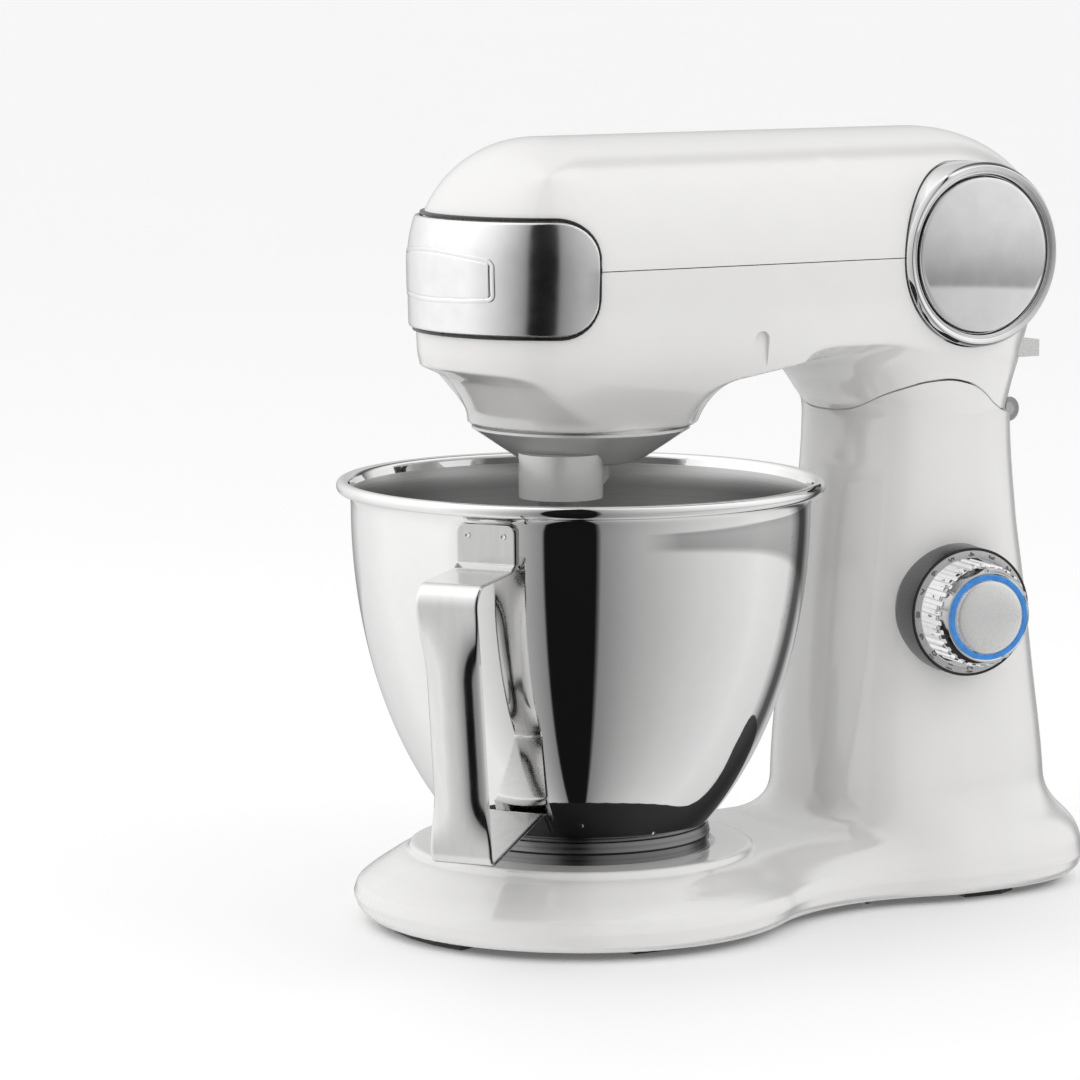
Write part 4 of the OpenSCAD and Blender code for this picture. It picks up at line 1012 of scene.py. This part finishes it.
floor_mesh = bpy.data.meshes.new("floor")
floor_mesh.from_pydata([(-100, -100, 0), (100, -100, 0), (100, 100, 0), (-100, 100, 0)], [], [(0, 1, 2, 3)])
floor = bpy.data.objects.new("floor", floor_mesh)
bpy.context.scene.collection.objects.link(floor)
pale, pale_shader = new_material("pale_floor", (0.95, 0.95, 0.95), 0, 0.6)
tint = colours(pale, noise(pale, 3), (0.945, 0.945, 0.945), (0.955, 0.955, 0.955))
link(pale, tint, pale_shader.inputs["Base Color"])
pale_shader.inputs["Emission Color"].default_value = (1, 1, 1, 1)
pale_shader.inputs["Emission Strength"].default_value = 0.10
floor.data.materials.append(pale)
floor.visible_glossy = False
bpy.context.scene.view_settings.view_transform = "Standard"

world = bpy.data.worlds.new("studio")
bpy.context.scene.world = world
world.use_nodes = True
tree = world.node_tree
tree.nodes.clear()


def wadd(kind, **values):
    node = tree.nodes.new(kind)
    for key, value in values.items():
        setattr(node, key, value)
    return node


def wmath(operation, a, b=None):
    node = wadd("ShaderNodeMath", operation=operation)
    for i, v in enumerate((a, b)):
        if v is None:
            continue
        if isinstance(v, (int, float)):
            node.inputs[i].default_value = v
        else:
            tree.links.new(v, node.inputs[i])
    return node.outputs[0]


def wramp(factor, stops):
    node = wadd("ShaderNodeValToRGB")
    ramp = node.color_ramp
    while len(ramp.elements) < len(stops):
        ramp.elements.new(0.5)
    for element, (at, value) in zip(ramp.elements, stops):
        element.position = at
        element.color = (value, value, value, 1)
    tree.links.new(factor, node.inputs["Fac"])
    return node.outputs["Color"]


coords = wadd("ShaderNodeTexCoord")
parts = wadd("ShaderNodeSeparateXYZ")
tree.links.new(coords.outputs["Generated"], parts.inputs[0])
towards = wadd("ShaderNodeVectorMath", operation="DOT_PRODUCT")
towards.inputs[1].default_value = (0.8525, -0.5227, 0)
tree.links.new(coords.outputs["Generated"], towards.inputs[0])
across = wadd("ShaderNodeVectorMath", operation="DOT_PRODUCT")
across.inputs[1].default_value = (0.5227, 0.8525, 0)
tree.links.new(coords.outputs["Generated"], across.inputs[0])
angle = wmath("ARCTAN2", across.outputs["Value"], towards.outputs["Value"])
turn = wmath("ADD", wmath("DIVIDE", angle, 2 * math.pi), 0.5)
# reflections: wide soft boxes round the studio with a dark gap between two of them
sides = wramp(turn, [(0.0, 0.62), (0.075, 1.0), (0.18, 1.3), (0.30, 1.3), (0.36, 0.95), (0.415, 0.55),
                     (0.446, 0.32), (0.449, 0.010), (0.522, 0.010), (0.526, 0.32), (0.582, 0.56),
                     (0.672, 0.86), (0.785, 1.12), (0.86, 1.0), (0.895, 0.12), (0.915, 0.12),
                     (0.945, 0.7), (1.0, 0.62)])
rise = wmath("ADD", wmath("MULTIPLY", parts.outputs[2], 0.5), 0.5)
ceiling = wramp(rise, [(0.0, 0.75), (0.30, 0.82), (0.5, 0.92), (0.6, 1.0), (0.78, 1.12), (1.0, 1.15)])
# and a dim card low down on both sides, with a sharp lower edge
flat = wmath("SQRT", wmath("SUBTRACT", 1.0001, wmath("MULTIPLY", parts.outputs[2], parts.outputs[2])))
aside = wmath("ADD", wmath("MULTIPLY", wmath("DIVIDE", parts.outputs[1], flat), 0.5), 0.5)
card_width = wramp(aside, [(0.0, 0.0), (0.50, 0.0), (0.66, 1.0), (1.0, 1.0)])
card_height = wramp(rise, [(0.0, 0.0), (0.405, 0.0), (0.407, 1.0), (0.43, 0.85), (0.47, 0.4), (0.52, 0.08),
                           (0.56, 0.0), (1.0, 0.0)])
card = wmath("SUBTRACT", 1.0, wmath("MULTIPLY", wmath("MULTIPLY", card_width, card_height), 0.5))
mirrored = wmath("MULTIPLY", wmath("MULTIPLY", sides, ceiling), card)
# soft light from everywhere, strongest from above
glow = wramp(rise, [(0.0, 0.50), (0.45, 0.55), (0.60, 0.72), (0.8, 0.90), (1.0, 0.95)])


def background(colour, strength):
    node = wadd("ShaderNodeBackground")
    if isinstance(colour, tuple):
        node.inputs["Color"].default_value = colour
    else:
        tree.links.new(colour, node.inputs["Color"])
    node.inputs["Strength"].default_value = strength
    return node.outputs[0]


def chosen(factor, a, b):
    node = wadd("ShaderNodeMixShader")
    tree.links.new(factor, node.inputs["Fac"])
    tree.links.new(a, node.inputs[1])
    tree.links.new(b, node.inputs[2])
    return node.outputs[0]


# the bowl mirrors the studio and the dark base plate, and nothing else of the stand
unseen = ["dial_skirt", "dial_gap", "dial_well", "dial_knob", "dial_floor", "dial_light", "dial_button"]
unseen += [name for name in frame["record"]["behaviour"]["bodies"]["stand"] if name != "base_bottom_plate"]
for name in unseen:
    bpy.data.objects[name].visible_glossy = False

path = wadd("ShaderNodeLightPath")
seen = chosen(path.outputs["Is Glossy Ray"], background(glow, 1.0), background(mirrored, 1.0))
choose = chosen(path.outputs["Is Camera Ray"], seen, background((1, 1, 1, 1), 1.0))
output = wadd("ShaderNodeOutputWorld")
tree.links.new(choose, output.inputs["Surface"])


def softbox(name, place, aim, size, power):
    data = bpy.data.lights.new(name, "AREA")
    data.shape = "RECTANGLE"
    data.size, data.size_y = size
    data.energy = power
    box = bpy.data.objects.new(name, data)
    bpy.context.scene.collection.objects.link(box)
    box.location = place
    box.rotation_euler = (Vector(aim) - Vector(place)).to_track_quat("-Z", "Y").to_euler()
    box.visible_glossy = False


softbox("key", (-0.2, -1.3, 1.9), (0, 0.05, 0.2), (1.4, 1.0), 7)
softbox("fill", (1.6, 1.2, 1.5), (0, 0.1, 0.2), (1.2, 1.0), 4)
